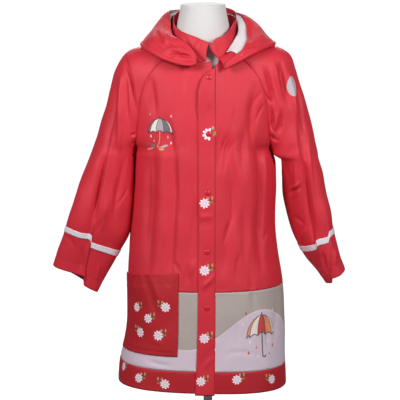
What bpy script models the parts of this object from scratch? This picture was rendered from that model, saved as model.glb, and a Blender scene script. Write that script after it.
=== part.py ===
"""Child's hooded rain coat on a limbless dress form with its stand.

Units are metres, +Z is up, the front faces -Y and the wearer's left is +X.
The origin is the centre of the stand's underside. Each cut and sewn piece is
one named object: an open grid of points with a Solidify modifier, whose walls
grow inward from the outer face that the tables below describe.
"""
import math
from collections import namedtuple

import bmesh
import bpy
import numpy as np
from mathutils import Matrix, Vector

# ---------------------------------------------------------------- driving sizes
CLOTH = 0.0012            # coated cloth
LINING = 0.0010           # thin lining cloth
SEAM_GAP = 0.0005         # between the edges of two sewn pieces
LAY_GAP = 0.0003          # between a panel and what lies on it
LINING_GAP = 0.0008       # between the hood and its lining, round its tight folds
POCKET_PUFF = 0.0015      # how far the middle of the patch pocket stands off the front

HEM_HEIGHT = 0.233
HEM_BAND_TOP = 0.272
BORDER_TOP = 0.415

PLACKET_EDGES = (-0.009, 0.003, 0.015, 0.022)   # columns of the strip, from the free edge
PLACKET_SHIFT = -0.004    # how far its lower end swings to the wearer's right
PLACKET_BOTTOM = 0.230
FRONT_OVERLAP_END = 0.015  # the right front runs this far past the middle

POCKET_SHARES = (0.167, 0.917)   # its edges, as shares of the way to the side seam
POCKET_BOTTOM = 0.300
POCKET_TOP = 0.448

PANEL_SHARES = np.concatenate(   # panel columns from the placket to the side seam
    (np.linspace(0.0, POCKET_SHARES[0], 3)[:-1], np.linspace(*POCKET_SHARES, 8), (1.0,))
)
POCKET_COLUMNS = slice(2, 10)    # the panel columns that the pocket lies on
BACK_COLUMNS = 20
SLEEVE_COLUMNS = 16
HOOD_COLUMNS = 26

SNAP_RADIUS = 0.0052
SNAP_FACE_SHARE = 0.72    # the cap's face, as a share of its foot
SNAP_THICKNESS = 0.0016
SNAP_SEGMENTS = 20
SNAP_HEIGHTS = (0.388, 0.489, 0.593, 0.694, 0.7925)

REFLECTIVE_WIDTH = 0.010

COAT_SHIFT = -0.009       # the coat and the form hang this far beside the pole
STAND_BASE_RADIUS = 0.150
STAND_BASE_THICKNESS = 0.012
STAND_ROD_RADIUS = 0.008
STAND_TUBE_RADIUS = 0.011
STAND_TUBE_BOTTOM = 0.200
STAND_SEGMENTS = 48
FORM_BOTTOM = 0.420

TURN_ROUNDS = 12          # rounds in which the angle of a point on a squared ring settles
WELD_DISTANCE = 1e-6      # corners closer than this are one corner

# --------------------------------------------------------------- body of the coat
# A course is one level ring: half widths to the wearer's right and left, the
# depths in front of and behind the coat's axis, and how square the ring is
# (2 is an ellipse).
Course = namedtuple("Course", "height right left front back square")
COURSES = (
    Course(0.233, 0.1540, 0.1510, 0.122, 0.118, 2.7),
    Course(0.272, 0.1490, 0.1495, 0.120, 0.115, 2.6),
    Course(0.314, 0.1390, 0.1480, 0.118, 0.112, 2.5),
    Course(0.380, 0.1355, 0.1465, 0.116, 0.109, 2.4),
    Course(0.415, 0.1350, 0.1440, 0.114, 0.107, 2.4),
    Course(0.470, 0.1330, 0.1350, 0.110, 0.103, 2.3),
    Course(0.525, 0.1295, 0.1300, 0.107, 0.100, 2.2),
    Course(0.561, 0.1265, 0.1300, 0.104, 0.098, 2.2),
    Course(0.600, 0.1235, 0.1310, 0.101, 0.096, 2.1),
    Course(0.630, 0.1225, 0.1300, 0.099, 0.095, 2.0),
    Course(0.649, 0.1220, 0.1240, 0.097, 0.094, 2.0),
)
PANEL_HEIGHTS = (BORDER_TOP, POCKET_TOP, 0.490, 0.525, 0.561, 0.600, 0.630)
BORDER_HEIGHTS = (HEM_BAND_TOP, POCKET_BOTTOM, 0.345, 0.380, BORDER_TOP)
HEM_HEIGHTS = (HEM_HEIGHT, HEM_BAND_TOP)

# A yoke row runs level at the middle and rises to the raglan seam. It is part
# of an ellipse of half width "spread", cut off at "seam".
Yoke = namedtuple(
    "Yoke",
    "front_middle front_seam back_middle back_seam spread front back seam square",
)
YOKE = (
    Yoke(0.649, 0.649, 0.649, 0.649, 0.123, 0.0970, 0.094, 0.123, 2.0),
    Yoke(0.672, 0.672, 0.672, 0.672, 0.134, 0.0945, 0.093, 0.119, 2.0),
    Yoke(0.700, 0.702, 0.702, 0.702, 0.150, 0.0915, 0.092, 0.116, 2.0),
    Yoke(0.728, 0.732, 0.732, 0.732, 0.166, 0.0880, 0.091, 0.113, 2.0),
    Yoke(0.752, 0.762, 0.762, 0.761, 0.172, 0.0840, 0.089, 0.108, 2.0),
    Yoke(0.772, 0.788, 0.792, 0.787, 0.165, 0.0795, 0.086, 0.098, 2.0),
    Yoke(0.790, 0.806, 0.818, 0.809, 0.145, 0.0750, 0.081, 0.085, 2.0),
    Yoke(0.806, 0.820, 0.842, 0.831, 0.110, 0.0705, 0.072, 0.068, 2.0),
    Yoke(0.818, 0.829, 0.862, 0.852, 0.060, 0.0670, 0.057, 0.045, 2.0),
)

# The largest folds of the skirt: a trough, or a ridge where the depth is
# negative. Turn is in degrees from the middle front, + to the wearer's left.
Fold = namedtuple("Fold", "turn top bottom width depth lean")
FOLDS = (
    Fold(-50, 0.690, 0.330, 0.040, 0.0045, 4),
    Fold(-24, 0.640, 0.420, 0.034, 0.0035, -2),
    Fold(24, 0.660, 0.300, 0.036, 0.0040, 3),
    Fold(52, 0.600, 0.200, 0.046, 0.0050, -5),
    Fold(78, 0.560, 0.200, 0.034, 0.0030, -2),
    Fold(-76, 0.600, 0.420, 0.030, 0.0025, 2),
    Fold(-118, 0.640, 0.210, 0.046, 0.0050, 4),
    Fold(-152, 0.600, 0.200, 0.050, 0.0060, -3),
    Fold(168, 0.660, 0.240, 0.040, 0.0040, 3),
    Fold(138, 0.580, 0.200, 0.052, 0.0060, 2),
    Fold(108, 0.620, 0.280, 0.040, 0.0040, -3),
)

# ------------------------------------------------------------------------ sleeves
# One row for each yoke row: how far round the arm the sleeve goes there, the
# outer edge to the wearer's right and left, and that edge's height.
Shoulder = namedtuple("Shoulder", "wrap right left height")
SHOULDER = (
    Shoulder(180.0, 0.199, 0.204, 0.649),
    Shoulder(128.0, 0.192, 0.200, 0.672),
    Shoulder(108.0, 0.183, 0.193, 0.702),
    Shoulder(98.0, 0.173, 0.185, 0.732),
    Shoulder(84.0, 0.164, 0.175, 0.766),
    Shoulder(72.0, 0.155, 0.164, 0.800),
    Shoulder(66.0, 0.134, 0.148, 0.829),
    Shoulder(70.0, 0.096, 0.110, 0.841),
    Shoulder(41.4, 0.060, 0.060, 0.842),
)
UNDERARM_DEPTH = 0.055    # half depth of the sleeve where it leaves the body

# Rings of the sleeve's tube: distance of the centre from the coat's axis, its
# height, half the width, half the depth, and the slope of the ring in degrees.
Ring = namedtuple("Ring", "out height half depth tilt")
SLEEVE_RIGHT = (
    Ring(0.2310, 0.419, 0.0465, 0.020, 31.5),
    Ring(0.2150, 0.455, 0.0500, 0.024, 29.0),
    Ring(0.1990, 0.490, 0.0530, 0.029, 26.0),
    Ring(0.1885, 0.526, 0.0535, 0.036, 21.0),
    Ring(0.1780, 0.562, 0.0500, 0.043, 15.0),
    Ring(0.1695, 0.606, 0.0440, 0.050, 8.0),
)
SLEEVE_LEFT = (
    Ring(0.2376, 0.426, 0.0220, 0.046, 35.0),
    Ring(0.2200, 0.459, 0.0280, 0.048, 34.0),
    Ring(0.2050, 0.492, 0.0340, 0.049, 32.0),
    Ring(0.1955, 0.526, 0.0360, 0.051, 22.0),
    Ring(0.1875, 0.562, 0.0365, 0.053, 15.0),
    Ring(0.1805, 0.606, 0.0345, 0.055, 8.0),
    Ring(0.1745, 0.640, 0.0325, 0.056, 3.0),
)
BAND_HEIGHT_RIGHT = 0.490
BAND_HEIGHT_LEFT = 0.492

# ----------------------------------------------------------------- neck and collar
NECK = YOKE[-1]           # the collar and the hood are sewn to the yoke's last row

# The collar's top edge, from the end that lies in front round the back to the
# end that lies behind. Turn places the point below it on the neck seam.
CollarPost = namedtuple("CollarPost", "turn x y height")
COLLAR = (
    CollarPost(28.0, 0.012, -0.0630, 0.846),
    CollarPost(36.0, 0.022, -0.0580, 0.857),
    CollarPost(50.0, 0.036, -0.0500, 0.862),
    CollarPost(68.0, 0.047, -0.0360, 0.870),
    CollarPost(90.0, 0.053, -0.0120, 0.878),
    CollarPost(112.0, 0.060, 0.0150, 0.887),
    CollarPost(132.0, 0.059, 0.0380, 0.896),
    CollarPost(152.0, 0.038, 0.0560, 0.903),
    CollarPost(180.0, 0.000, 0.0630, 0.902),
    CollarPost(208.0, -0.030, 0.0560, 0.901),
    CollarPost(232.0, -0.047, 0.0380, 0.895),
    CollarPost(254.0, -0.053, 0.0150, 0.886),
    CollarPost(276.0, -0.051, -0.0100, 0.877),
    CollarPost(300.0, -0.043, -0.0330, 0.871),
    CollarPost(325.0, -0.027, -0.0510, 0.866),
    CollarPost(345.0, -0.010, -0.0580, 0.860),
    CollarPost(358.0, 0.004, -0.0590, 0.854),
    CollarPost(367.0, 0.012, -0.0585, 0.852),
)
COLLAR_ROWS = 3
# At its two ends the collar's foot steps out and in, so that one end passes the other.
COLLAR_STEP_TURNS = (28.0, 60.0, 300.0, 367.0)
COLLAR_STEPS_OUT = (0.0012, 0.0, 0.0, -0.0022)

# --------------------------------------------------------------------------- hood
# The hood hangs folded over on itself. Each section starts at the neck seam,
# runs out under the pouch to the fold, turns over and comes back to the rim.
# Turn is in degrees from the middle back, + towards the wearer's right.
HoodSection = namedtuple(
    "HoodSection", "turn fold_x fold_y fold_z rim_x rim_y rim_z puff lift bulge"
)
HOOD = (
    HoodSection(-156, 0.037, -0.0840, 0.8080, 0.038, -0.083, 0.816, 0.0030, 0.004, 0.001),
    HoodSection(-151, 0.046, -0.0835, 0.8120, 0.048, -0.081, 0.826, 0.0035, 0.005, 0.002),
    HoodSection(-142, 0.060, -0.0790, 0.8180, 0.065, -0.073, 0.838, 0.0045, 0.006, 0.003),
    HoodSection(-129, 0.080, -0.0660, 0.8270, 0.071, -0.060, 0.847, 0.0050, 0.007, 0.004),
    HoodSection(-113, 0.102, -0.0450, 0.8370, 0.074, -0.033, 0.857, 0.0050, 0.008, 0.005),
    HoodSection(-90, 0.122, 0.0000, 0.8460, 0.075, 0.000, 0.868, 0.0055, 0.010, 0.006),
    HoodSection(-60, 0.104, 0.0650, 0.8240, 0.067, 0.040, 0.884, 0.0060, 0.013, 0.015),
    HoodSection(-30, 0.064, 0.1120, 0.7660, 0.040, 0.070, 0.887, 0.0080, 0.012, 0.022),
    HoodSection(0, 0.000, 0.1220, 0.7320, 0.000, 0.078, 0.890, 0.0080, 0.012, 0.026),
    HoodSection(30, -0.062, 0.1120, 0.7660, -0.038, 0.070, 0.889, 0.0080, 0.012, 0.022),
    HoodSection(60, -0.091, 0.0620, 0.8300, -0.062, 0.041, 0.889, 0.0060, 0.014, 0.009),
    HoodSection(90, -0.104, 0.0000, 0.8470, -0.063, 0.000, 0.880, 0.0045, 0.010, 0.005),
    HoodSection(116, -0.092, -0.0480, 0.8380, -0.048, -0.040, 0.867, 0.0050, 0.008, 0.008),
    HoodSection(132, -0.074, -0.0680, 0.8260, -0.037, -0.061, 0.855, 0.0055, 0.007, 0.006),
    HoodSection(145, -0.056, -0.0800, 0.8190, -0.029, -0.070, 0.847, 0.0050, 0.006, 0.004),
    HoodSection(157, -0.037, -0.0860, 0.8150, -0.022, -0.075, 0.840, 0.0045, 0.005, 0.003),
    HoodSection(166, -0.022, -0.0870, 0.8160, -0.016, -0.078, 0.832, 0.0035, 0.004, 0.002),
    HoodSection(172, -0.012, -0.0850, 0.8190, -0.012, -0.079, 0.826, 0.0030, 0.003, 0.001),
)
HOOD_STEP_OUT = 0.0030    # the hood's seam lies this far outside the collar's
HOOD_STEP_UP = 0.0040
LOWER_STEPS = 4
UPPER_STEPS = 5
FOLD_ANGLES = (-40.0, 0.0, 40.0)   # points round the fold's outside, in degrees
HOOD_LINING_COLUMNS = (3, 23)    # the lining stops short of the hood's two ends

# --------------------------------------------------------------------- dress form
FormRing = namedtuple("FormRing", "height half depth")
FORM = (
    FormRing(0.420, 0.0900, 0.065),
    FormRing(0.450, 0.1000, 0.075),
    FormRing(0.480, 0.1040, 0.080),
    FormRing(0.530, 0.0970, 0.075),
    FormRing(0.580, 0.0920, 0.070),
    FormRing(0.640, 0.0950, 0.073),
    FormRing(0.690, 0.0990, 0.076),
    FormRing(0.750, 0.1060, 0.072),
    FormRing(0.790, 0.1180, 0.062),
    FormRing(0.812, 0.1140, 0.050),
    FormRing(0.823, 0.1000, 0.043),
    FormRing(0.829, 0.0840, 0.040),
    FormRing(0.836, 0.0595, 0.040),
    FormRing(0.845, 0.0510, 0.042),
    FormRing(0.862, 0.0485, 0.043),
    FormRing(0.880, 0.0450, 0.042),
    FormRing(0.900, 0.0410, 0.040),
    FormRing(0.911, 0.0395, 0.039),
)
FORM_COLUMNS = 32
SHOULDER_TRIM = 0.0030    # raises or lowers the form inside the coat

# ---------------------------------------------------------------------- materials
Finish = namedtuple("Finish", "red green blue roughness metallic")
FINISHES = {
    "coated_cloth": Finish(0.62, 0.045, 0.065, 0.42, 0.0),
    "coated_cloth_dark": Finish(0.42, 0.025, 0.035, 0.42, 0.0),
    "border_print": Finish(0.44, 0.36, 0.40, 0.45, 0.0),
    "reflective_tape": Finish(0.70, 0.66, 0.70, 0.30, 0.0),
    "lining_white": Finish(0.88, 0.86, 0.84, 0.85, 0.0),
    "snap_plastic": Finish(0.58, 0.05, 0.07, 0.25, 0.0),
    "form_cover": Finish(0.80, 0.78, 0.74, 0.80, 0.0),
    "stand_black": Finish(0.015, 0.015, 0.016, 0.40, 0.0),
    "stand_steel": Finish(0.60, 0.60, 0.62, 0.30, 1.0),
}


def make_materials():
    """One Principled material for each finish, by name."""
    made = {}
    for name, finish in FINISHES.items():
        material = bpy.data.materials.new(name)
        material.use_nodes = True
        shader = material.node_tree.nodes["Principled BSDF"]
        shader.inputs["Base Color"].default_value = (finish.red, finish.green, finish.blue, 1.0)
        shader.inputs["Roughness"].default_value = finish.roughness
        shader.inputs["Metallic"].default_value = finish.metallic
        made[name] = material
    return made


# --------------------------------------------------------------------- table tools
def column(table, name):
    """One named column of a table, as an array."""
    return np.array([getattr(row, name) for row in table])


def course_at(height):
    """The body's ring at a height between two courses."""
    heights = column(COURSES, "height")
    sizes = [np.interp(height, heights, column(COURSES, name)) for name in Course._fields[1:]]
    return Course(height, *sizes)


def arch(share):
    """0 at both ends of a run and 1 at its middle."""
    return 4.0 * share * (1.0 - share)


def smooth_bump(distance):
    """1 at 0, falling to 0 with a soft foot at 1."""
    reach = np.clip(np.abs(distance), 0.0, 1.0)
    return (1.0 - reach * reach) ** 2


def fold_shift(turn, height):
    """How far the folds move the outer face out at a turn and a height."""
    shift = 0.0
    for fold in FOLDS:
        middle = 0.5 * (fold.top + fold.bottom)
        half_height = 0.5 * (fold.top - fold.bottom)
        lean = fold.lean * (middle - height) / half_height
        away = (turn - fold.turn - lean + 180.0) % 360.0 - 180.0
        across = math.radians(away) * course_at(height).front
        along = (height - middle) / half_height
        shift -= fold.depth * smooth_bump(across / fold.width) * smooth_bump(along)
    return shift


# --------------------------------------------------------------------- body points
def row_of_course(height):
    """A level body ring, written as a yoke row for each side."""
    ring = course_at(height)
    levels = (height, height, height, height)
    return {
        side: Yoke(*levels, width, ring.front, ring.back, width, ring.square)
        for side, width in ((-1, ring.right), (1, ring.left))
    }


def body_rows(heights, with_yoke):
    """Rows from the hem upward, each a pair of yoke rows by side."""
    rows = [row_of_course(height) for height in heights]
    if with_yoke:
        rows += [{-1: row, 1: row} for row in YOKE]
    return rows


def seam_turn(row):
    """Angle from the middle at which the row meets its side or raglan seam."""
    return math.asin(row.seam / row.spread)


def squareness(row, turn):
    """What a point at this turn is divided by to lie on the row's squared ring."""
    power = row.square
    return (abs(math.sin(turn)) ** power + abs(math.cos(turn)) ** power) ** (1.0 / power)


def body_point(row, side, back, turn):
    """Outer face at an angle from the middle front, or the middle back."""
    share = (turn / seam_turn(row)) ** 2
    if back:
        middle, seam, depth, sign = row.back_middle, row.back_seam, row.back, 1.0
    else:
        middle, seam, depth, sign = row.front_middle, row.front_seam, row.front, -1.0
    height = middle + (seam - middle) * share
    whole_turn = side * (180.0 - math.degrees(turn)) if back else side * math.degrees(turn)
    out = fold_shift(whole_turn, height)
    flat = squareness(row, turn)
    return (
        side * (row.spread + out) * math.sin(turn) / flat,
        sign * (depth + out) * math.cos(turn) / flat,
        height,
    )


def turn_at(row, across):
    """Angle from the middle front of a point so far to one side."""
    turn = 0.0
    for _ in range(TURN_ROUNDS):
        turn = math.asin(across / row.spread * squareness(row, turn))
    return turn


def panel_turns(row, start):
    """Angles of a half front's columns from the placket to its seam."""
    end = seam_turn(row) - 0.5 * SEAM_GAP / row.front
    return start + (end - start) * PANEL_SHARES


def front_right_grid(rows):
    """Half front under the placket: it runs past the middle to its own edge."""
    grid = []
    for row in rows:
        line = [
            body_point(row[1], 1, False, turn_at(row[1], FRONT_OVERLAP_END)),
            body_point(row[1], 1, False, turn_at(row[1], PLACKET_EDGES[1])),
        ]
        start = turn_at(row[-1], -PLACKET_EDGES[0])
        line += [body_point(row[-1], -1, False, turn) for turn in panel_turns(row[-1], start)]
        grid.append(line)
    return np.array(grid)[:, ::-1]


def front_left_grid(rows):
    """The other half front, which starts one seam gap beyond that edge."""
    grid = []
    for row in rows:
        first = turn_at(row[1], FRONT_OVERLAP_END + SEAM_GAP)
        start = turn_at(row[1], PLACKET_EDGES[3])
        line = [body_point(row[1], 1, False, first)]
        line += [body_point(row[1], 1, False, turn) for turn in panel_turns(row[1], start)]
        grid.append(line)
    return np.array(grid)


def back_grid(rows):
    """The whole back, from the left side seam to the right one."""
    half = BACK_COLUMNS // 2
    grid = []
    for row in rows:
        line = []
        for side, steps in ((1, range(half, 0, -1)), (-1, range(0, half + 1))):
            end = seam_turn(row[side]) - 0.5 * SEAM_GAP / row[side].back
            line += [body_point(row[side], side, True, end * step / half) for step in steps]
        grid.append(line)
    return np.array(grid)


# -------------------------------------------------------------------- grid helpers
def grid_normals(grid, closed=False):
    """Unit normals of a grid, from its neighbouring points."""
    if closed:
        across = np.roll(grid, -1, axis=1) - np.roll(grid, 1, axis=1)
    else:
        across = np.gradient(grid, axis=1)
    along = np.gradient(grid, axis=0)
    normals = np.cross(across, along)
    return normals / np.linalg.norm(normals, axis=2, keepdims=True)


def moved_out(grid, distance, closed=False):
    """The grid moved along its normals, by one distance or one for each point."""
    return grid + grid_normals(grid, closed) * np.asarray(distance)[..., None]


def trimmed(grid, below=0.0, above=0.0):
    """The grid with its lowest and highest rows drawn in along the surface."""
    cut = grid.copy()
    for edge, inner, amount in ((0, 1, below), (-1, -2, above)):
        step = grid[inner] - grid[edge]
        cut[edge] = grid[edge] + step / np.linalg.norm(step, axis=1, keepdims=True) * amount
    return cut


def smooth_rows(stations, values, wanted):
    """Catmull-Rom through table values at uneven stations."""
    stations = np.asarray(stations, float)
    values = np.asarray(values, float)
    slopes = np.gradient(values, stations, axis=0)
    result = []
    for station in wanted:
        k = int(np.clip(np.searchsorted(stations, station) - 1, 0, len(stations) - 2))
        width = stations[k + 1] - stations[k]
        s = (station - stations[k]) / width
        result.append(
            (2 * s**3 - 3 * s**2 + 1) * values[k]
            + (s**3 - 2 * s**2 + s) * width * slopes[k]
            + (3 * s**2 - 2 * s**3) * values[k + 1]
            + (s**3 - s**2) * width * slopes[k + 1]
        )
    return np.array(result)


# ------------------------------------------------------------------- sleeve points
def sleeve_ring(ring, side):
    """A closed ring, starting and ending on the side next to the body."""
    angles = math.pi * (1.0 - 2.0 * np.arange(SLEEVE_COLUMNS + 1) / SLEEVE_COLUMNS)
    tilt = math.radians(ring.tilt)
    reach = ring.half * np.cos(angles)
    return np.stack(
        (
            side * (ring.out + reach * math.cos(tilt)),
            -ring.depth * np.sin(angles),
            ring.height + reach * math.sin(tilt),
        ),
        axis=1,
    )


def ring_at(table, height):
    """The sleeve's ring at a height between two rings of its table."""
    heights = column(table, "height")
    sizes = {name: np.interp(height, heights, column(table, name)) for name in Ring._fields}
    return Ring(**sizes)


def shoulder_row(row, shoulder, side):
    """An open arc over the arm, from the front raglan seam to the back one."""
    outer = shoulder.right if side < 0 else shoulder.left
    inner = row.seam + SEAM_GAP
    wrap = math.radians(shoulder.wrap)
    reach = (outer - inner) / (1.0 - math.cos(wrap))
    turn = seam_turn(row)
    points = []
    for step in range(SLEEVE_COLUMNS + 1):
        share = 1.0 - 2.0 * step / SLEEVE_COLUMNS
        angle = wrap * share
        if shoulder.wrap >= 180.0:
            depth = UNDERARM_DEPTH
        else:
            panel = row.front if share > 0 else row.back
            depth = panel * math.cos(turn) / math.sin(wrap)
        seam_height = row.front_seam if share > 0 else row.back_seam
        rise = 1.0 - share * share
        points.append(
            (
                side * (outer - reach + reach * math.cos(angle)),
                -depth * math.sin(angle),
                seam_height + (shoulder.height - seam_height) * rise,
            )
        )
    return np.array(points)


def sleeve_grid(table, band_height, side):
    """The sleeve from cuff to neck, and the two rows of its reflective band."""
    half_band = 0.5 * REFLECTIVE_WIDTH
    heights = sorted(
        {ring.height for ring in table if ring.height != band_height}
        | {band_height - half_band, band_height + half_band}
    )
    tube = [sleeve_ring(ring_at(table, height), side) for height in heights]
    arcs = [shoulder_row(row, shoulder, side) for row, shoulder in zip(YOKE, SHOULDER)]
    grid = np.array(tube + arcs)
    first = heights.index(band_height - half_band)
    return grid, grid[first:first + 2]


# ----------------------------------------------------------- neck, collar and hood
def neck_height(turn):
    """Height of the neck seam, which dips at the front between the sleeves."""
    seam = math.degrees(seam_turn(NECK))
    crest = SHOULDER[-1].height
    if turn < seam:
        return NECK.front_middle + (NECK.front_seam - NECK.front_middle) * (turn / seam) ** 2
    if turn > 180.0 - seam:
        share = (180.0 - turn) / seam
        return NECK.back_middle + (NECK.back_seam - NECK.back_middle) * share**2
    low = NECK.front_seam if turn < 90.0 else NECK.back_seam
    share = abs(turn - 90.0) / (90.0 - seam)
    return low + (crest - low) * (1.0 - share**2)


def neck_point(turn, out=0.0, up=0.0):
    """A point of the neck seam at degrees from the middle front."""
    angle = math.radians(turn)
    folded = abs((turn + 180.0) % 360.0 - 180.0)
    depth = NECK.front if folded < 90.0 else NECK.back
    return np.array(
        (
            (NECK.spread + out) * math.sin(angle),
            -(depth + out) * math.cos(angle),
            neck_height(folded) + up,
        )
    )


def collar_grid():
    """The stand collar: the end at its first column lies over the last one."""
    feet = []
    for post in COLLAR:
        step_out = np.interp(post.turn, COLLAR_STEP_TURNS, COLLAR_STEPS_OUT)
        feet.append(neck_point(post.turn, out=step_out, up=SEAM_GAP))
    feet = np.array(feet)
    tops = np.array([(post.x, post.y, post.height) for post in COLLAR])
    shares = np.linspace(0.0, 1.0, COLLAR_ROWS + 1)
    return np.array([feet + (tops - feet) * share for share in shares])


def hood_profile(section):
    """Points from the neck seam under the pouch, round the fold and to the rim."""
    neck = neck_point(180.0 + section.turn, HOOD_STEP_OUT, HOOD_STEP_UP)
    fold = np.array((section.fold_x, section.fold_y, section.fold_z))
    rim = np.array((section.rim_x, section.rim_y, section.rim_z))
    run = fold - neck
    run /= np.linalg.norm(run)
    lift_way = np.array((0.0, 0.0, 1.0)) - run[2] * run
    lift_way /= np.linalg.norm(lift_way)
    under = fold - lift_way * section.puff
    over = fold + lift_way * section.puff
    points = []
    for step in range(LOWER_STEPS + 1):
        s = step / LOWER_STEPS
        points.append(neck + (under - neck) * s + lift_way * section.lift * arch(s))
    for angle in FOLD_ANGLES:
        reach = math.radians(angle)
        points.append(
            fold + section.puff * (run * math.cos(reach) + lift_way * math.sin(reach))
        )
    for step in range(UPPER_STEPS + 1):
        s = step / UPPER_STEPS
        points.append(over + (rim - over) * s + lift_way * section.bulge * arch(s))
    return np.array(points)


def hood_grid():
    """Rows run along the profile, columns at even turns round the neck."""
    turns = np.linspace(HOOD[0].turn, HOOD[-1].turn, HOOD_COLUMNS + 1)
    rows = smooth_rows(column(HOOD, "turn"), [tuple(section) for section in HOOD], turns)
    profiles = [hood_profile(HoodSection(*row)) for row in rows]
    return np.swapaxes(np.array(profiles), 0, 1)


# ------------------------------------------------------------------ object builders
def grid_mesh(name, grid, flip):
    """A triangulated open surface whose faces point out."""
    shape = bmesh.new()
    rows, columns = grid.shape[:2]
    verts = [[shape.verts.new(grid[i, j]) for j in range(columns)] for i in range(rows)]
    for i in range(rows - 1):
        for j in range(columns - 1):
            corners = [verts[i][j], verts[i][j + 1], verts[i + 1][j + 1], verts[i + 1][j]]
            shape.faces.new(corners[::-1] if flip else corners)
    bmesh.ops.remove_doubles(shape, verts=shape.verts, dist=WELD_DISTANCE)
    bmesh.ops.triangulate(shape, faces=shape.faces, quad_method="FIXED")
    mesh = bpy.data.meshes.new(name)
    shape.to_mesh(mesh)
    shape.free()
    return mesh


def add_object(name, mesh, material, home):
    """Link a mesh object, shade it smooth and parent it to its home empty."""
    piece = bpy.data.objects.new(name, mesh)
    home.users_collection[0].objects.link(piece)
    piece.data.materials.append(material)
    piece.parent = home
    return piece


def cloth(name, grid, material, home, flip=False, thickness=CLOTH):
    """A cloth wall that grows inward from the grid."""
    piece = add_object(name, grid_mesh(name, grid, flip), material, home)
    piece.data.shade_smooth()
    wall = piece.modifiers.new("wall", "SOLIDIFY")
    wall.thickness = thickness
    wall.offset = -1.0
    wall.use_quality_normals = True
    return piece


def make_body(materials, home):
    """Fronts, back, printed border and hem band, each cut at the side seams."""
    bands = (
        ("", PANEL_HEIGHTS, True, "coated_cloth"),
        ("border_", BORDER_HEIGHTS, False, "border_print"),
        ("hem_", HEM_HEIGHTS, False, "coated_cloth_dark"),
    )
    half_gap = 0.5 * SEAM_GAP
    for prefix, heights, with_yoke, finish in bands:
        rows = body_rows(heights, with_yoke)
        below = 0.0 if prefix == "hem_" else half_gap
        names = ("front_right", "front_left", "back") if with_yoke else ("right", "left", "back")
        grids = (front_right_grid(rows), front_left_grid(rows), back_grid(rows))
        for name, grid in zip(names, grids):
            cut = trimmed(grid, below, half_gap)
            cloth(prefix + name, cut, materials[finish], home)


def make_placket(materials, home):
    """The snap placket, laid on both fronts over its whole height."""
    heights = (PLACKET_BOTTOM,) + HEM_HEIGHTS + BORDER_HEIGHTS[1:] + PANEL_HEIGHTS[1:]
    rows = body_rows(heights, True)
    grid = []
    for row, height in zip(rows, heights + tuple(yoke.front_middle for yoke in YOKE)):
        swing = PLACKET_SHIFT * max(0.0, (BORDER_TOP - height) / (BORDER_TOP - HEM_HEIGHT)) ** 2
        line = []
        for edge in PLACKET_EDGES:
            across = edge + swing
            side = 1 if across > 0 else -1
            line.append(body_point(row[side], side, False, turn_at(row[side], abs(across))))
        grid.append(line)
    surface = trimmed(np.array(grid), 0.0, 0.5 * SEAM_GAP)
    outer = moved_out(surface, LAY_GAP + CLOTH)
    cloth("placket", outer, materials["coated_cloth"], home)
    return outer


def make_snaps(placket, materials, home):
    """Domed snap caps on the placket, one object each."""
    middle = 0.5 * (placket[:, 1] + placket[:, 2])
    normals = grid_normals(placket)[:, 1]
    for number, height in enumerate(SNAP_HEIGHTS, start=1):
        seat = np.array([np.interp(height, middle[:, 2], middle[:, axis]) for axis in range(3)])
        way = np.array([np.interp(height, middle[:, 2], normals[:, axis]) for axis in range(3)])
        way /= np.linalg.norm(way)
        shape = bmesh.new()
        bmesh.ops.create_cone(
            shape, cap_ends=True, segments=SNAP_SEGMENTS, depth=SNAP_THICKNESS,
            radius1=SNAP_RADIUS, radius2=SNAP_RADIUS * SNAP_FACE_SHARE,
        )
        mesh = bpy.data.meshes.new(f"snap_{number}")
        shape.to_mesh(mesh)
        shape.free()
        snap = add_object(mesh.name, mesh, materials["snap_plastic"], home)
        centre = Vector(seat + way * (LAY_GAP + 0.5 * SNAP_THICKNESS))
        facing = Vector(way).to_track_quat("Z", "Y")
        snap.matrix_local = Matrix.LocRotScale(centre, facing, None)


def make_pocket(materials, home):
    """The patch pocket on the wearer's right front."""
    rows = body_rows(BORDER_HEIGHTS[1:] + (POCKET_TOP,), False)
    grid = []
    for row in rows:
        turns = panel_turns(row[-1], turn_at(row[-1], -PLACKET_EDGES[0]))[POCKET_COLUMNS]
        grid.append([body_point(row[-1], -1, False, turn) for turn in turns])
    surface = np.array(grid)[:, ::-1]
    lift = np.full(surface.shape[:2], LAY_GAP + CLOTH)
    lift[1:-1, 1:-1] += POCKET_PUFF
    outer = moved_out(surface, lift)
    cloth("pocket", outer, materials["coated_cloth_dark"], home)


def make_sleeves(materials, home):
    """Both raglan sleeves and the reflective band sewn round each."""
    for side, word, table, band_height in (
        (-1, "right", SLEEVE_RIGHT, BAND_HEIGHT_RIGHT),
        (1, "left", SLEEVE_LEFT, BAND_HEIGHT_LEFT),
    ):
        grid, band = sleeve_grid(table, band_height, side)
        cut = trimmed(grid, 0.0, 0.5 * SEAM_GAP)
        cloth(f"sleeve_{word}", cut, materials["coated_cloth"], home, flip=side < 0)
        ring = band[:, :-1]
        lift = (LAY_GAP + CLOTH) * side
        outer = moved_out(ring, lift, closed=True)
        outer = np.concatenate((outer, outer[:, :1]), axis=1)
        cloth(f"reflective_band_{word}", outer, materials["reflective_tape"], home, flip=side < 0)


def make_collar(materials, home):
    """The stand collar, whose two ends part at the front."""
    cloth("collar", collar_grid(), materials["coated_cloth"], home)


def make_hood(materials, home):
    """The hood's outer cloth and the lining inside it."""
    outer = hood_grid()
    cloth("hood", outer, materials["coated_cloth"], home)
    first, last = HOOD_LINING_COLUMNS
    lining = moved_out(outer, -(CLOTH + LINING_GAP))[1:-1, first:last]
    cloth("hood_lining", lining, materials["lining_white"], home, thickness=LINING)


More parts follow.
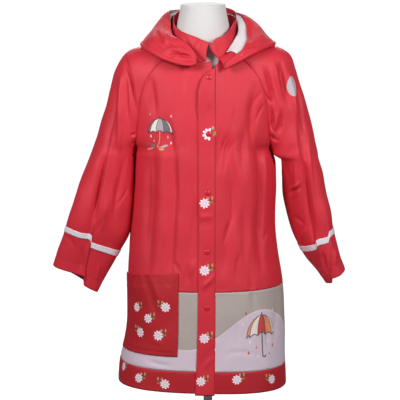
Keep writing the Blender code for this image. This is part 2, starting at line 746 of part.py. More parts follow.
def make_form(materials, home):
    """The limbless form: rings from its flat underside to its flat neck."""
    angles = 2.0 * math.pi * np.arange(FORM_COLUMNS + 1) / FORM_COLUMNS
    rows = []
    for ring in FORM:
        trim = SHOULDER_TRIM if ring.height > FORM_BOTTOM else 0.0
        heights = np.full_like(angles, ring.height + trim)
        rows.append(
            np.stack(
                (ring.half * np.sin(angles), -ring.depth * np.cos(angles), heights), axis=1
            )
        )
    mesh = grid_mesh("dress_form", np.array(rows), flip=False)
    shape = bmesh.new()
    shape.from_mesh(mesh)
    bmesh.ops.holes_fill(shape, edges=[edge for edge in shape.edges if edge.is_boundary])
    shape.to_mesh(mesh)
    shape.free()
    form = add_object("dress_form", mesh, materials["form_cover"], home)
    form.data.shade_smooth()


def make_stand(materials, home):
    """A round base, a steel rod and the black tube that carries the form."""
    rod_bottom = STAND_BASE_THICKNESS + LAY_GAP
    rod_top = STAND_TUBE_BOTTOM - LAY_GAP
    tube_top = FORM_BOTTOM - LAY_GAP
    for name, radius, low, high, finish in (
        ("stand_base", STAND_BASE_RADIUS, 0.0, STAND_BASE_THICKNESS, "stand_steel"),
        ("stand_rod", STAND_ROD_RADIUS, rod_bottom, rod_top, "stand_steel"),
        ("stand_tube", STAND_TUBE_RADIUS, STAND_TUBE_BOTTOM, tube_top, "stand_black"),
    ):
        shape = bmesh.new()
        bmesh.ops.create_cone(
            shape, cap_ends=True, segments=STAND_SEGMENTS,
            radius1=radius, radius2=radius, depth=high - low,
            matrix=Matrix.Translation((0.0, 0.0, 0.5 * (low + high))),
        )
        mesh = bpy.data.meshes.new(name)
        shape.to_mesh(mesh)
        shape.free()
        add_object(name, mesh, materials[finish], home)


def make_home(collection, name, location):
    """An empty that carries a group of pieces."""
    home = bpy.data.objects.new(name, None)
    home.location = location
    collection.objects.link(home)
    return home


def main():
    for old in list(bpy.data.objects):
        bpy.data.objects.remove(old, do_unlink=True)
    collection = bpy.data.collections.new("kids_rain_coat")
    bpy.context.scene.collection.children.link(collection)
    coat = make_home(collection, "coat_axis", (COAT_SHIFT, 0.0, 0.0))
    pole = make_home(collection, "pole_axis", (0.0, 0.0, 0.0))
    materials = make_materials()
    make_body(materials, coat)
    placket = make_placket(materials, coat)
    make_snaps(placket, materials, coat)
    make_pocket(materials, coat)
    make_sleeves(materials, coat)
    make_collar(materials, coat)
    make_hood(materials, coat)
    make_form(materials, coat)
    make_stand(materials, pole)


main()
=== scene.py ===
"""Child's hooded rain coat on a limbless dress form with its stand: the visible model.

Lengths are metres, +Z is up, the front faces -Y and the wearer's left is +X. Every cut and
sewn piece is its own mesh: a fine grid laid on the piece's smooth form, pushed in and out
along listed creases, and given the thickness of its cloth. Prints, stitches and
snaps are laid on the finished grids. Each piece stands for the frame's node of that name.
"""

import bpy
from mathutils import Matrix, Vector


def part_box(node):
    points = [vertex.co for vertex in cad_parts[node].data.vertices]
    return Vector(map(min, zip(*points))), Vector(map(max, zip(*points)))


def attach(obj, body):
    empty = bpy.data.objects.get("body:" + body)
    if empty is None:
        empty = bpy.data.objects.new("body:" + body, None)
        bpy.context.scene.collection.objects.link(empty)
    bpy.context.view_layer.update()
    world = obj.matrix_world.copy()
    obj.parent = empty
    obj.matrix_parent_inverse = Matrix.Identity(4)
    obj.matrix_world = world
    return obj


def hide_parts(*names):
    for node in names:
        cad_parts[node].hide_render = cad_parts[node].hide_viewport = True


bl_info = {
    "name": "Child's Rain Coat",
    "version": (1, 0, 0),
    "blender": (4, 5, 0),
    "location": "3D View > Sidebar > Rain Coat",
    "description": "Builds a child's rain coat on its dress form, and a plain studio round it",
    "category": "Add Mesh",
}

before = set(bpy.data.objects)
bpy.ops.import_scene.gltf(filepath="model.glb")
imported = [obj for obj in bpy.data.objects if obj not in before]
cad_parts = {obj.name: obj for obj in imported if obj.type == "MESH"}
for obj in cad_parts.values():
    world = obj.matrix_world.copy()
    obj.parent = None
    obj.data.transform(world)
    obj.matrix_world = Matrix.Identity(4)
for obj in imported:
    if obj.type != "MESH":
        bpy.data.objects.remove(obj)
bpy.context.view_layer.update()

import math
from collections import namedtuple
from functools import partial

import bmesh
import bpy
import numpy as np
from bpy.props import FloatProperty, FloatVectorProperty, PointerProperty
from bpy.types import Operator, Panel, PropertyGroup
from mathutils import Matrix, Vector

COAT_SHIFT = -0.009       # the coat and the form hang this far beside the pole
HANG = np.array((COAT_SHIFT, 0.0, 0.0))
MIDDLE_HEIGHT = 561.0     # millimetres; the level that the camera looks at
VIEW_DISTANCE = 4000.0    # millimetres from the camera to the coat's axis
VIEW_TILT = math.radians(10.0)

HEM_HEIGHT = 0.233
HEM_BAND_TOP = 0.272
BORDER_TOP = 0.415
PANEL_TOP = 0.818
FRONT_MEETING = 0.015     # the fronts meet here, under the placket
PLACKET_BOTTOM = 0.230
PLACKET_EDGES = (-0.009, 0.022)
LAY_GAP = 0.0003          # between a panel and what lies on it
PLACKET_COLUMNS = 15
SAG_START = 0.700         # the height from which the left front's corner sags
PLACKET_FLARE = (0.0054, 0.0015)   # how far its edges move to the wearer's right below
PLACKET_STAND = 0.0006
CORNER_STAND = 0.0048     # how far the left front's top corner stands off
POCKET_STEP = 0.0022      # how fine the pocket's grid is
POCKET_SIZE = (0.105, 0.150)
POCKET_SIDES = (0.917, 0.167)      # shares of the way from the placket to the side seam
POCKET_FOOT = (0.2935, 0.0055)     # height at its outer side, and rise toward the placket
POCKET_MOUTH = (0.4325, 0.0175)
POCKET_STAND = 0.0005
POCKET_SLACK = 0.0016
POCKET_HEM = 0.0190       # depths of the sewn hems
CUFF_HEM = 0.0200
ARM_GIRTH = 0.31


def table_of(kind, *rows):
    """A table whose rows are named tuples of one kind."""
    return tuple(kind(*row) for row in rows)


# --- body of the coat
# A course is one level ring: half widths to the wearer's right and left, depths in
# front of and behind the axis, and how square the ring is (2 is an ellipse).
Course = namedtuple("Course", "height right left front back square")
COURSES = table_of(
    Course,
    (0.233, 0.154, 0.151, 0.122, 0.118, 2.7), (0.272, 0.149, 0.1495, 0.12, 0.115, 2.6),
    (0.314, 0.139, 0.148, 0.118, 0.112, 2.5), (0.38, 0.1355, 0.1465, 0.116, 0.109, 2.4),
    (0.415, 0.135, 0.144, 0.114, 0.107, 2.4), (0.47, 0.133, 0.135, 0.11, 0.103, 2.3),
    (0.525, 0.1295, 0.13, 0.107, 0.1, 2.2), (0.561, 0.1265, 0.13, 0.104, 0.098, 2.2),
    (0.6, 0.1235, 0.131, 0.101, 0.096, 2.25), (0.63, 0.1225, 0.13, 0.099, 0.095, 2.25),
    (0.649, 0.122, 0.124, 0.097, 0.094, 2.3),
)

# A yoke row runs level at the middle and rises to the raglan seam. It is part of an
# ellipse of half width "spread", cut off at "seam".
Yoke = namedtuple("Yoke", "front_middle front_seam back_middle back_seam spread front back seam")
YOKE = table_of(
    Yoke,
    (0.649, 0.649, 0.649, 0.649, 0.123, 0.097, 0.094, 0.123),
    (0.672, 0.672, 0.672, 0.672, 0.1336, 0.0945, 0.093, 0.119),
    (0.7, 0.702, 0.702, 0.702, 0.1412, 0.0915, 0.092, 0.116),
    (0.728, 0.732, 0.732, 0.732, 0.1468, 0.088, 0.091, 0.113),
    (0.752, 0.762, 0.762, 0.761, 0.153, 0.084, 0.089, 0.108),
    (0.772, 0.788, 0.792, 0.787, 0.157, 0.0795, 0.086, 0.098),
    (0.79, 0.806, 0.818, 0.809, 0.145, 0.075, 0.081, 0.085),
    (0.806, 0.82, 0.842, 0.831, 0.11, 0.0705, 0.072, 0.068),
    (0.818, 0.829, 0.862, 0.852, 0.06, 0.067, 0.057, 0.045),
)

# The unbuttoned top corner of the left front sags: how high each of its columns reaches.
TopEdge = namedtuple("TopEdge", "across station")
TOP_EDGE = table_of(
    TopEdge,
    (-0.009, 0.766), (-0.004, 0.785), (0.003, 0.796), (0.01, 0.8015), (0.016, 0.8045),
    (0.022, 0.8075), (0.03, 0.812), (0.042, 0.818),
)

# --- sleeves
# Shoulder rows: how far round the arm the sleeve goes, its outer edge on the wearer's
# right and left, and that edge's height. Rings: distance of the centre from the axis,
# height, half width, half depth, the slope of the ring in degrees, how far forward it
# hangs, and how much its outer side is turned forward.
Shoulder = namedtuple("Shoulder", "wrap right left height")
SHOULDER = table_of(
    Shoulder,
    (180.0, 0.199, 0.2052, 0.649), (128.0, 0.192, 0.2, 0.672), (108.0, 0.183, 0.193, 0.702),
    (98.0, 0.173, 0.185, 0.732), (84.0, 0.164, 0.175, 0.766), (72.0, 0.155, 0.164, 0.8),
    (66.0, 0.134, 0.148, 0.829), (70.0, 0.096, 0.11, 0.841), (41.4, 0.06, 0.06, 0.842),
)
UNDERARM_DEPTH = 0.055
# The power that shapes a ring: 1 is an ellipse, and less is blunter. The side next to
# the body gets blunter toward the armhole.
INNER_HEIGHTS = (0.46, 0.56, 0.606, 0.649)
INNER_POWERS = (0.80, 0.68, 0.54, 0.40)
OUTER_POWER = 0.85
Ring = namedtuple("Ring", "out height half depth tilt fore turn")
SLEEVE_RIGHT = table_of(
    Ring,
    (0.231, 0.419, 0.0465, 0.02, 31.5, 0.004, 0.0), (0.215, 0.455, 0.05, 0.024, 29.0, 0.008, 0.05),
    (0.199, 0.49, 0.053, 0.029, 26.0, 0.013, 0.1),
    (0.184, 0.526, 0.0565, 0.035, 21.0, 0.016, 0.12),
    (0.1762, 0.562, 0.053, 0.041, 15.0, 0.014, 0.12),
    (0.1688, 0.606, 0.0465, 0.047, 8.0, 0.008, 0.08),
)
SLEEVE_LEFT = table_of(
    Ring,
    (0.2376, 0.426, 0.022, 0.046, 35.0, 0.0, 0.4), (0.22, 0.459, 0.028, 0.048, 34.0, 0.0, 0.45),
    (0.2044, 0.492, 0.0346, 0.049, 32.0, 0.0, 0.5), (0.1935, 0.526, 0.038, 0.049, 22.0, 0.0, 0.5),
    (0.1852, 0.562, 0.0384, 0.05, 15.0, 0.0, 0.45), (0.1778, 0.606, 0.036, 0.052, 8.0, 0.0, 0.32),
    (0.1725, 0.64, 0.0332, 0.054, 3.0, 0.0, 0.12),
)
BAND_HEIGHTS = {"right": 0.490, "left": 0.492}
REFLECTIVE_WIDTH = 0.010
BAND_LIFT = 0.0010
BAND_CLOTH = 0.0008        # thicknesses of the band and of the doubled collar
COLLAR_CLOTH = 0.0018

# --- collar and hood
# The collar's top edge, from the end in front round the back to the end behind. Turn
# places the point below it on the neck seam, in degrees from the middle front.
CollarPost = namedtuple("CollarPost", "turn x y height")
COLLAR = table_of(
    CollarPost,
    (28.0, 0.012, -0.063, 0.846), (36.0, 0.022, -0.058, 0.857), (50.0, 0.036, -0.05, 0.862),
    (68.0, 0.047, -0.036, 0.87), (90.0, 0.053, -0.012, 0.878), (112.0, 0.06, 0.015, 0.887),
    (132.0, 0.059, 0.038, 0.896), (152.0, 0.038, 0.056, 0.903), (180.0, 0.0, 0.063, 0.902),
    (208.0, -0.03, 0.056, 0.901), (232.0, -0.047, 0.038, 0.895), (254.0, -0.053, 0.015, 0.886),
    (276.0, -0.051, -0.01, 0.877), (300.0, -0.043, -0.033, 0.871), (325.0, -0.027, -0.051, 0.866),
    (345.0, -0.01, -0.058, 0.86), (358.0, 0.004, -0.059, 0.854), (367.0, 0.012, -0.0585, 0.852),
)
# How far the collar's foot stands off the neck seam where its ends lie over each other.
COLLAR_STEP_TURNS = (28.0, 60.0, 300.0, 367.0)
COLLAR_STEPS_OUT = (0.0012, 0.0, 0.0, -0.0022)
COLLAR_HOLLOW = 0.0035    # how far its front ends are cut hollow
COLLAR_COLUMNS = 150
COLLAR_ROWS = 18

# Each section of the folded hood starts at the neck seam, runs out under the pouch to
# the fold, turns over and comes back to the rim. Turn is from the middle back.
HoodSection = namedtuple(
    "HoodSection", "turn fold_x fold_y fold_z rim_x rim_y rim_z puff lift bulge"
)
HOOD = table_of(
    HoodSection,
    (-156, 0.038, -0.085, 0.81, 0.038, -0.083, 0.817, 0.0028, 0.004, 0.001),
    (-151, 0.047, -0.084, 0.815, 0.049, -0.081, 0.826, 0.0032, 0.005, 0.002),
    (-142, 0.061, -0.08, 0.823, 0.066, -0.073, 0.837, 0.0038, 0.006, 0.002),
    (-129, 0.082, -0.068, 0.833, 0.073, -0.06, 0.847, 0.004, 0.007, 0.003),
    (-113, 0.104, -0.046, 0.8405, 0.077, -0.033, 0.858, 0.004, 0.008, 0.004),
    (-90, 0.125, 0.0, 0.844, 0.077, 0.0, 0.871, 0.0036, 0.01, 0.006),
    (-60, 0.106, 0.065, 0.824, 0.065, 0.042, 0.893, 0.006, 0.013, 0.016),
    (-30, 0.064, 0.112, 0.766, 0.04, 0.07, 0.896, 0.008, 0.012, 0.022),
    (0, 0.0, 0.122, 0.732, 0.0, 0.078, 0.896, 0.008, 0.012, 0.026),
    (30, -0.062, 0.112, 0.766, -0.038, 0.07, 0.897, 0.008, 0.012, 0.022),
    (60, -0.091, 0.062, 0.83, -0.06, 0.041, 0.897, 0.006, 0.014, 0.01),
    (90, -0.109, 0.0, 0.843, -0.058, 0.0, 0.882, 0.0034, 0.01, 0.007),
    (116, -0.095, -0.05, 0.838, -0.053, -0.042, 0.863, 0.004, 0.008, 0.009),
    (132, -0.075, -0.07, 0.829, -0.043, -0.063, 0.858, 0.0045, 0.007, 0.006),
    (145, -0.056, -0.082, 0.823, -0.031, -0.071, 0.853, 0.0045, 0.006, 0.004),
    (157, -0.037, -0.088, 0.818, -0.021, -0.077, 0.845, 0.004, 0.005, 0.003),
    (166, -0.022, -0.089, 0.817, -0.014, -0.08, 0.835, 0.0032, 0.004, 0.002),
    (172, -0.012, -0.087, 0.819, -0.01, -0.08, 0.827, 0.0028, 0.003, 0.001),
)
# Where the hood is sewn on, outside the collar's foot.
HOOD_STEP_OUT = 0.0030
HOOD_STEP_UP = 0.0040

# --- dress form
FormRing = namedtuple("FormRing", "height half depth")
FORM = table_of(
    FormRing,
    (0.42, 0.09, 0.065), (0.453, 0.1, 0.075), (0.483, 0.104, 0.08), (0.533, 0.097, 0.075),
    (0.583, 0.092, 0.07), (0.643, 0.095, 0.073), (0.693, 0.099, 0.076), (0.753, 0.106, 0.072),
    (0.793, 0.118, 0.062), (0.815, 0.114, 0.05), (0.826, 0.1, 0.043), (0.832, 0.084, 0.04),
    (0.839, 0.0595, 0.04), (0.848, 0.051, 0.042), (0.865, 0.0485, 0.043), (0.883, 0.045, 0.042),
    (0.903, 0.041, 0.04), (0.914, 0.0395, 0.039),
)

# --- creases
# A crease runs through three places in the view from in front, or from behind, in
# millimetres across and up. Its width and depth are millimetres too; a ridge has a
# negative depth. A skewed one is steeper on the right of the way it runs.
Crease = namedtuple("Crease", "x0 z0 x1 z1 x2 z2 width depth skew", defaults=(0,))
BODY_CREASES = table_of(
    Crease,
    (-97, 640, -100, 560, -105, 480, 7, 1.8, 0.3), (-43, 662, -49, 611, -42, 520, 7, 1.6, 0.3),
    (46, 684, 34, 647, 28, 606, 5, 1.5, 0.3), (64, 678, 45, 637, 39, 606, 5, 1.6, 0.3),
    (52, 652, 44, 628, 46, 596, 4, -1.2), (49, 600, 57, 539, 37, 492, 6, 1.8, 0.4),
    (106, 694, 107, 583, 97, 450, 9, 2.2, 0.3), (-22, 600, -18, 520, -30, 430, 6, 1.6, 0.3),
    (-70, 500, -74, 460, -88, 425, 5, 1.5, 0.2), (70, 470, 62, 440, 66, 405, 6, 1.5, 0.3),
    (110, 760, 96, 742, 88, 722, 4, 1.6, 0.2), (112, 735, 100, 716, 94, 690, 4, 1.4, 0.2),
    (-99, 800, -91, 756, -84, 700, 12, 2.8, 0.2), (-89, 668, -90, 600, -94, 520, 20, 3.2, 0.25),
    (-91, 590, -95, 510, -101, 400, 20, 3.4, 0.25), (-66, 720, -56, 660, -52, 590, 15, 2.6, 0.3),
    (-54, 645, -52, 560, -57, 470, 17, 3.4, 0.3), (-52, 540, -56, 470, -60, 400, 15, 2.8, 0.3),
    (-14, 700, -12, 620, -11, 540, 13, 2, -0.3), (-12, 590, -13, 510, -14, 420, 13, 3, -0.3),
    (-54, 451, -46, 440, -40, 422, 5, 1.8, 0.3), (-16, 457, -19, 439, -23, 419, 6, -2),
    (-25, 449, -28, 426, -31, 403, 6, 1.6), (-92, 795, -95, 759, -95, 730, 6, -1.3),
    (-31, 830, -34, 790, -36, 745, 9, 1.4, 0.2), (98, 775, 88, 710, 92, 645, 13, 3.6, 0.3),
    (94, 690, 104, 610, 105, 520, 15, 3.4, 0.35), (105, 570, 103, 500, 108, 420, 14, 3.2, 0.3),
    (44, 690, 48, 640, 52, 590, 18, 2.2, 0.4), (52, 640, 54, 560, 46, 490, 22, 3.4, 0.4),
    (50, 540, 42, 470, 40, 410, 19, 3, 0.4), (47, 669, 41, 646, 39, 622, 5, 2, 0.4),
    (56, 662, 51, 651, 49, 640, 4.5, -1.4), (31, 700, 28, 650, 30, 600, 6, 1.6, 0.2),
    (70, 560, 76, 500, 72, 430, 13, 1.8, 0.3), (78, 700, 72, 650, 76, 590, 12, 1.8, 0.3),
    (48, 523, 45, 503, 38, 478, 5, 1.6, 0.3), (112, 509, 112, 498, 108, 485, 4.5, 1.3),
    (54, 734, 55, 709, 52, 687, 5, 0.8), (-27, 388, -26, 354, -29, 316, 7, 1),
    (131, 385, 131, 341, 128, 298, 8, 1.6, 0.2), (106, 358, 115, 327, 117, 284, 8, 1.3),
    (59, 341, 61, 318, 63, 287, 7, 0.8), (85, 439, 88, 399, 95, 349, 10, 1.2),
    (-106, 277, -81, 266, -49, 262, 7, 0.9), (-111, 809, -117, 781, -118, 759, 5, 1),
    (34, 280, 67, 287, 106, 278, 8, 0.6),
)
SLEEVE_RIGHT_CREASES = table_of(
    Crease,
    (-168, 680, -184, 595, -196, 530, 11, 2.8, 0.4), (-186, 590, -197, 530, -216, 455, 11, 3, 0.4),
    (-149, 770, -149, 690, -158, 610, 9, -2.2), (-137, 650, -150, 590, -161, 520, 10, 1.8, 0.3),
    (-140, 818, -130, 777, -116, 698, 5.5, 4.2, 0.35),
    (-138, 802, -137, 745, -131, 683, 7, 1.8, 0.3), (-148, 795, -148, 741, -157, 651, 9, -2.4),
    (-153, 784, -162, 719, -176, 629, 9, 2.8, 0.3), (-174, 651, -188, 575, -198, 507, 8, 3.4, 0.4),
    (-132, 678, -124, 679, -114, 679, 2.8, 2.2, 0.3), (-130, 672, -123, 674, -117, 673, 3, -1.4),
    (-131, 661, -124, 664, -116, 669, 2.6, 2.2, 0.3), (-127, 646, -122, 640, -117, 635, 3.4, 3.4),
    (-124, 631, -122, 624, -119, 615, 3, 2), (-132, 588, -146, 563, -159, 545, 3.2, 1.2, 0.3),
    (-155, 601, -157, 561, -167, 493, 11, 1.6), (-172, 572, -178, 534, -184, 503, 8, -1.6),
    (-214, 482, -218, 453, -220, 426, 8, 1.6, 0.2), (-239, 615, -250, 561, -257, 503, 12, -1),
    (-200, 723, -214, 669, -229, 611, 10, -0.8), (-185, 449, -189, 431, -191, 410, 6, -1),
    (-254, 503, -239, 489, -229, 467, 7, 0.7), (-173, 536, -184, 518, -191, 500, 5, 1.1, 0.2),
)
SLEEVE_LEFT_CREASES = table_of(
    Crease,
    (170, 712, 180, 630, 187, 565, 11, 3.6, -0.45), (183, 625, 190, 545, 203, 475, 11, 4.2, -0.45),
    (188, 700, 195, 600, 206, 510, 8, -1.6, 0.3), (150, 640, 153, 595, 163, 535, 9, 3, 0.2),
    (168, 640, 168, 600, 174, 555, 8, -2.2), (139, 817, 146, 775, 158, 720, 8, 3.4, 0.35),
    (108, 812, 122, 770, 130, 720, 7, 3.4, 0.4), (125, 817, 134, 775, 143, 735, 6, -2.4),
    (152, 800, 162, 750, 170, 690, 7, -2.4, 0.2), (168, 780, 176, 730, 184, 670, 6, 2.2, 0.35),
    (121, 735, 124, 705, 118, 680, 7, 3.2, 0.2), (140, 730, 141, 700, 133, 675, 6, 2.8, 0.3),
    (131, 722, 131, 700, 124, 680, 5, -2), (118, 693, 124, 684, 132, 677, 4, -1.8),
    (119, 682, 127, 672, 139, 668, 4, 2.4, 0.2), (109, 768, 118, 751, 128, 738, 3.4, -1.6),
    (106, 762, 115, 746, 125, 733, 3.4, 1.8, 0.2), (179, 597, 166, 586, 149, 580, 4, -1.8),
    (179, 588, 165, 577, 148, 572, 4, 2.2, 0.2), (160, 534, 172, 526, 184, 516, 5, 1.8, 0.2),
    (188, 512, 182, 502, 176, 487, 5, -1.4), (214, 470, 220, 448, 224, 425, 7, 2, 0.3),
    (236, 475, 238, 460, 240, 440, 6, -1.2), (188, 449, 196, 440, 207, 431, 6, 1.2),
)
HOOD_CREASES = table_of(
    Crease,
    (-70, 813, -42, 824, -16, 815, 5, 4.4, 0.5), (-70, 828, -46, 834, -20, 824, 6, -2.4),
    (-68, 846, -52, 837, -34, 832, 4, 3, 0.4), (-46, 812, -30, 808, -12, 811, 4, 1.8),
    (-84, 872, -76, 850, -60, 838, 9, 2, 0.3), (-62, 868, -66, 852, -76, 834, 7, -1.6),
    (-96, 850, -80, 836, -66, 828, 7, 1.4, 0.3), (-100, 842, -84, 828, -70, 822, 5, -1),
    (74, 832, 90, 838, 112, 844, 7, 1.6, 0.3), (90, 880, 100, 862, 114, 846, 9, -1.4),
    (80, 888, 85, 862, 84, 838, 7, 1.6, 0.3),
)
COLLAR_CREASES = table_of(
    Crease,
    (-6, 847, -11, 840, -15, 833, 3.4, 1.4), (-8, 818, -3, 813, 4, 807, 3.2, 1.2),
    (-36, 860, -29, 845, -20, 835, 7, 0.9), (23, 845, 27, 835, 34, 820, 6, 0.9),
)
POCKET_CREASES = table_of(
    Crease,
    (-108, 431, -95, 407, -76, 336, 7.5, 2.8, 0.4), (-92, 426, -83, 401, -76, 372, 7.5, -1.4),
    (-116, 426, -112, 417, -107, 408, 3.4, 1), (-122, 419, -120, 406, -117, 392, 5.5, -1),
    (-67, 424, -63, 412, -56, 403, 4, 0.8), (-92, 313, -81, 305, -67, 302, 7, -0.8),
    (-54, 381, -56, 349, -54, 316, 6, 0.8),
)
PLACKET_CREASES = table_of(
    Crease,
    (-13, 513, 4, 515, 23, 517, 8, 1.5, 0.3), (-11, 529, 5, 531, 22, 532, 9, -1.4),
    (-5, 401, 9, 413, 22, 429, 7.5, -1.9), (-2, 390, 9, 399, 22, 412, 6.5, 1.8),
    (22, 298, 8, 280, -7, 260, 7.5, 2), (14, 278, 9, 269, 2, 257, 6.5, -1.1),
    (4, 770, 10, 748, 5, 719, 4, -0.8), (12, 730, 9, 719, 4, 707, 3.4, 0.8),
    (0, 478, 5, 470, 13, 473, 2.4, 0.7), (18, 633, 14, 606, 16, 586, 4, 0.5),
    (-8, 669, -6, 624, -8, 579, 4, 0.5),
)
BACK_CREASES = table_of(
    Crease,
    (-96, 760, -88, 700, -92, 610, 13, 3.2, 0.2), (-70, 700, -62, 620, -66, 500, 15, 2.6),
    (-34, 690, -30, 600, -40, 470, 16, 2.4, 0.3), (-8, 640, -2, 560, -6, 430, 14, -2),
    (22, 700, 30, 590, 24, 440, 15, 3, 0.2), (58, 720, 66, 630, 60, 480, 14, 2.8, -0.2),
    (94, 750, 96, 690, 104, 600, 15, 3.8), (44, 520, 50, 440, 48, 330, 16, -1.8),
    (86, 560, 92, 460, 98, 340, 16, 2.6, 0.3), (-100, 540, -106, 450, -112, 330, 16, 2.8, -0.2),
    (-58, 480, -54, 400, -60, 290, 15, 2.2), (10, 430, 14, 360, 8, 270, 15, 2),
    (-86, 690, -64, 676, -40, 680, 7, 1.6, 0.3), (90, 676, 66, 664, 44, 668, 7, 1.5, 0.2),
    (-22, 770, 4, 752, 28, 768, 10, 1.6), (-60, 596, -50, 586, -36, 588, 6, 1.2, 0.2),
    (70, 600, 62, 588, 50, 586, 5, 1.1), (-120, 480, -110, 470, -96, 474, 6, 1.3),
    (118, 520, 108, 508, 96, 510, 6, 1.2), (-40, 330, -36, 300, -42, 262, 10, -1.2),
    (66, 330, 70, 296, 66, 256, 10, 1.2),
)
SLEEVE_BACK_CREASES = table_of(
    Crease,
    (-132, 760, -150, 690, -172, 590, 11, 3.2, 0.2), (-150, 780, -168, 700, -190, 600, 12, -2),
    (-158, 640, -176, 570, -200, 490, 10, 3, 0.3), (-184, 560, -204, 500, -226, 430, 10, -1.8),
    (-128, 640, -140, 634, -152, 640, 4, 2.4), (-132, 616, -142, 610, -154, 612, 4, 2, 0.2),
    (-190, 520, -176, 508, -166, 506, 4, 1.4), (134, 756, 150, 690, 160, 600, 10, 3.2, 0.2),
    (152, 790, 172, 700, 186, 600, 11, -2.2), (160, 660, 176, 590, 196, 510, 9, 3.2, 0.2),
    (184, 560, 200, 500, 226, 440, 10, -1.6), (134, 650, 146, 642, 156, 648, 4, 2.4),
    (140, 628, 150, 620, 162, 622, 4, 1.8), (176, 580, 166, 568, 158, 562, 4, 1.6),
)
HOOD_BACK_CREASES = table_of(
    Crease,
    (-58, 876, -50, 830, -26, 782, 12, 2.6, 0.2), (54, 878, 50, 830, 30, 780, 12, 2.4),
    (-20, 880, -12, 830, -14, 770, 12, -1.8), (16, 870, 20, 820, 14, 764, 12, 1.8),
    (-84, 860, -72, 838, -58, 820, 8, 1.6), (88, 858, 76, 836, 62, 816, 8, 1.8, 0.2),
)

# A pleat shears the cloth on its two sides along the sleeve: how far each side rises
# at the pleat's three places, how far from it that reaches, and the step it leaves.
Pleat = namedtuple("Pleat", "x0 z0 x1 z1 x2 z2 left right left_reach right_reach step")
PLEATS_RIGHT = table_of(
    Pleat,
    (-180, 590, -200, 497, -216, 424, (0, 9, 16), (0, -5, -1), 52, 56, 3.6),
)
PLEATS_LEFT = table_of(
    Pleat,
    (184, 628, 200, 500, 219, 415, (0, -8, 0), (0, 0, 0), 34, 20, -3.0),
    (219, 540, 226, 499, 231, 424, (0, -6, -5), (0, 3, 4), 18, 16, -2.6),
)


# --- table tools
def column(table, name):
    """One named column of a table, as an array."""
    return np.array([getattr(row, name) for row in table])


def shares_of(count):
    """Even steps from 0 to 1."""
    return np.linspace(0.0, 1.0, count)


def round_angles(count):
    """Even steps once round a circle."""
    return np.linspace(0.0, 2.0 * math.pi, count, endpoint=False)


def arch(share):
    """0 at both ends of a run and 1 at its middle."""
    return 4.0 * share * (1.0 - share)


def eased(share):
    """0 to 1 with soft ends."""
    share = np.clip(share, 0.0, 1.0)
    return share * share * (3.0 - 2.0 * share)


def smooth_bump(distance):
    """1 at 0, falling to 0 with a soft foot at 1."""
    reach = np.clip(np.abs(distance), 0.0, 1.0)
    return (1.0 - reach * reach) ** 2


FOLD_TIP = 0.09           # how rounded a crease's edge is, as a share of its width
FOLD_POWER = 1.7          # above 1 its sides flatten toward the foot


def furrow(distance, depth, width):
    """A narrow valley pressed in by a row of stitches."""
    return depth * np.exp(-((distance / width) ** 2))


def fold_profile(distance):
    """1 at 0 and 0 from 1 on, with nearly straight sides that meet in a rounded edge."""
    reach = np.clip(np.abs(distance), 0.0, 1.0)
    sunk = np.sqrt(reach * reach + FOLD_TIP * FOLD_TIP) - FOLD_TIP
    return (1.0 - sunk / (math.hypot(1.0, FOLD_TIP) - FOLD_TIP)) ** FOLD_POWER


def dot(a, b):
    return np.sum(a * b, axis=-1)


def unit(vectors):
    return vectors / np.maximum(np.linalg.norm(vectors, axis=-1, keepdims=True), 1e-12)


def smooth_rows(stations, values, wanted):
    """Points at wanted stations, rows by columns, on smooth curves through table rows."""
    stations = np.asarray(stations, float)
    values = np.asarray(values, float)
    wanted = np.asarray(wanted, float)
    if wanted.ndim == 1:
        wanted = np.repeat(wanted[:, None], values.shape[1], axis=1)
    secants = np.diff(values, axis=0) / np.diff(stations)[:, None, None]
    slopes = np.gradient(values, stations, axis=0)
    limit = 3.0 * np.minimum(np.abs(secants[:-1]), np.abs(secants[1:]))
    onward = secants[:-1] * secants[1:] > 0.0
    slopes[1:-1] = np.where(onward, np.clip(slopes[1:-1], -limit, limit), 0.0)
    k = np.clip(np.searchsorted(stations, wanted) - 1, 0, len(stations) - 2)
    across = np.arange(values.shape[1])
    width = (stations[k + 1] - stations[k])[..., None]
    s = (wanted - stations[k])[..., None] / width
    return (
        (2 * s**3 - 3 * s**2 + 1) * values[k, across]
        + (s**3 - 2 * s**2 + s) * width * slopes[k, across]
        + (3 * s**2 - 2 * s**3) * values[k + 1, across]
        + (s**3 - s**2) * width * slopes[k + 1, across]
    )


# --- body points
# One quarter of a body row, front or back, on one side.
Level = namedtuple("Level", "station middle seam_height spread depth seam square")


def body_levels(side, back):
    """The rows of one quarter of the body, from the hem to the neck."""
    levels = []
    for ring in COURSES:
        up, width = ring.height, ring.right if side < 0 else ring.left
        depth = ring.back if back else ring.front
        levels.append(Level(up, up, up, width, depth, width, ring.square))
    for row in YOKE[1:]:
        middle, seam, depth = row.front_middle, row.front_seam, row.front
        if back:
            middle, seam, depth = row.back_middle, row.back_seam, row.back
        levels.append(Level(row.front_middle, middle, seam, row.spread, depth, row.seam, 2.0))
    return levels


LEVELS = {(side, back): body_levels(side, back) for side in (-1, 1) for back in (False, True)}
STATIONS = column(LEVELS[1, False], "station")


def seam_turn(level):
    """Angle from the middle at which a level meets its side or raglan seam."""
    return math.asin(min(1.0, level.seam / level.spread))


def squareness(level, turns):
    """What a point at this turn is divided by to lie on the level's squared ring."""
    power = level.square
    return (np.abs(np.sin(turns)) ** power + np.abs(np.cos(turns)) ** power) ** (1.0 / power)


def turn_at(level, across):
    """Signed angles from the middle front of points so far to the wearer's left."""
    away = np.abs(np.asarray(across, float))
    turns = np.zeros_like(away)
    # The ring's squareness depends on the turn, so both are found by repeating.
    for _ in range(12):
        turns = np.arcsin(np.clip(away / level.spread * squareness(level, turns), 0.0, 1.0))
    return np.sign(across) * turns


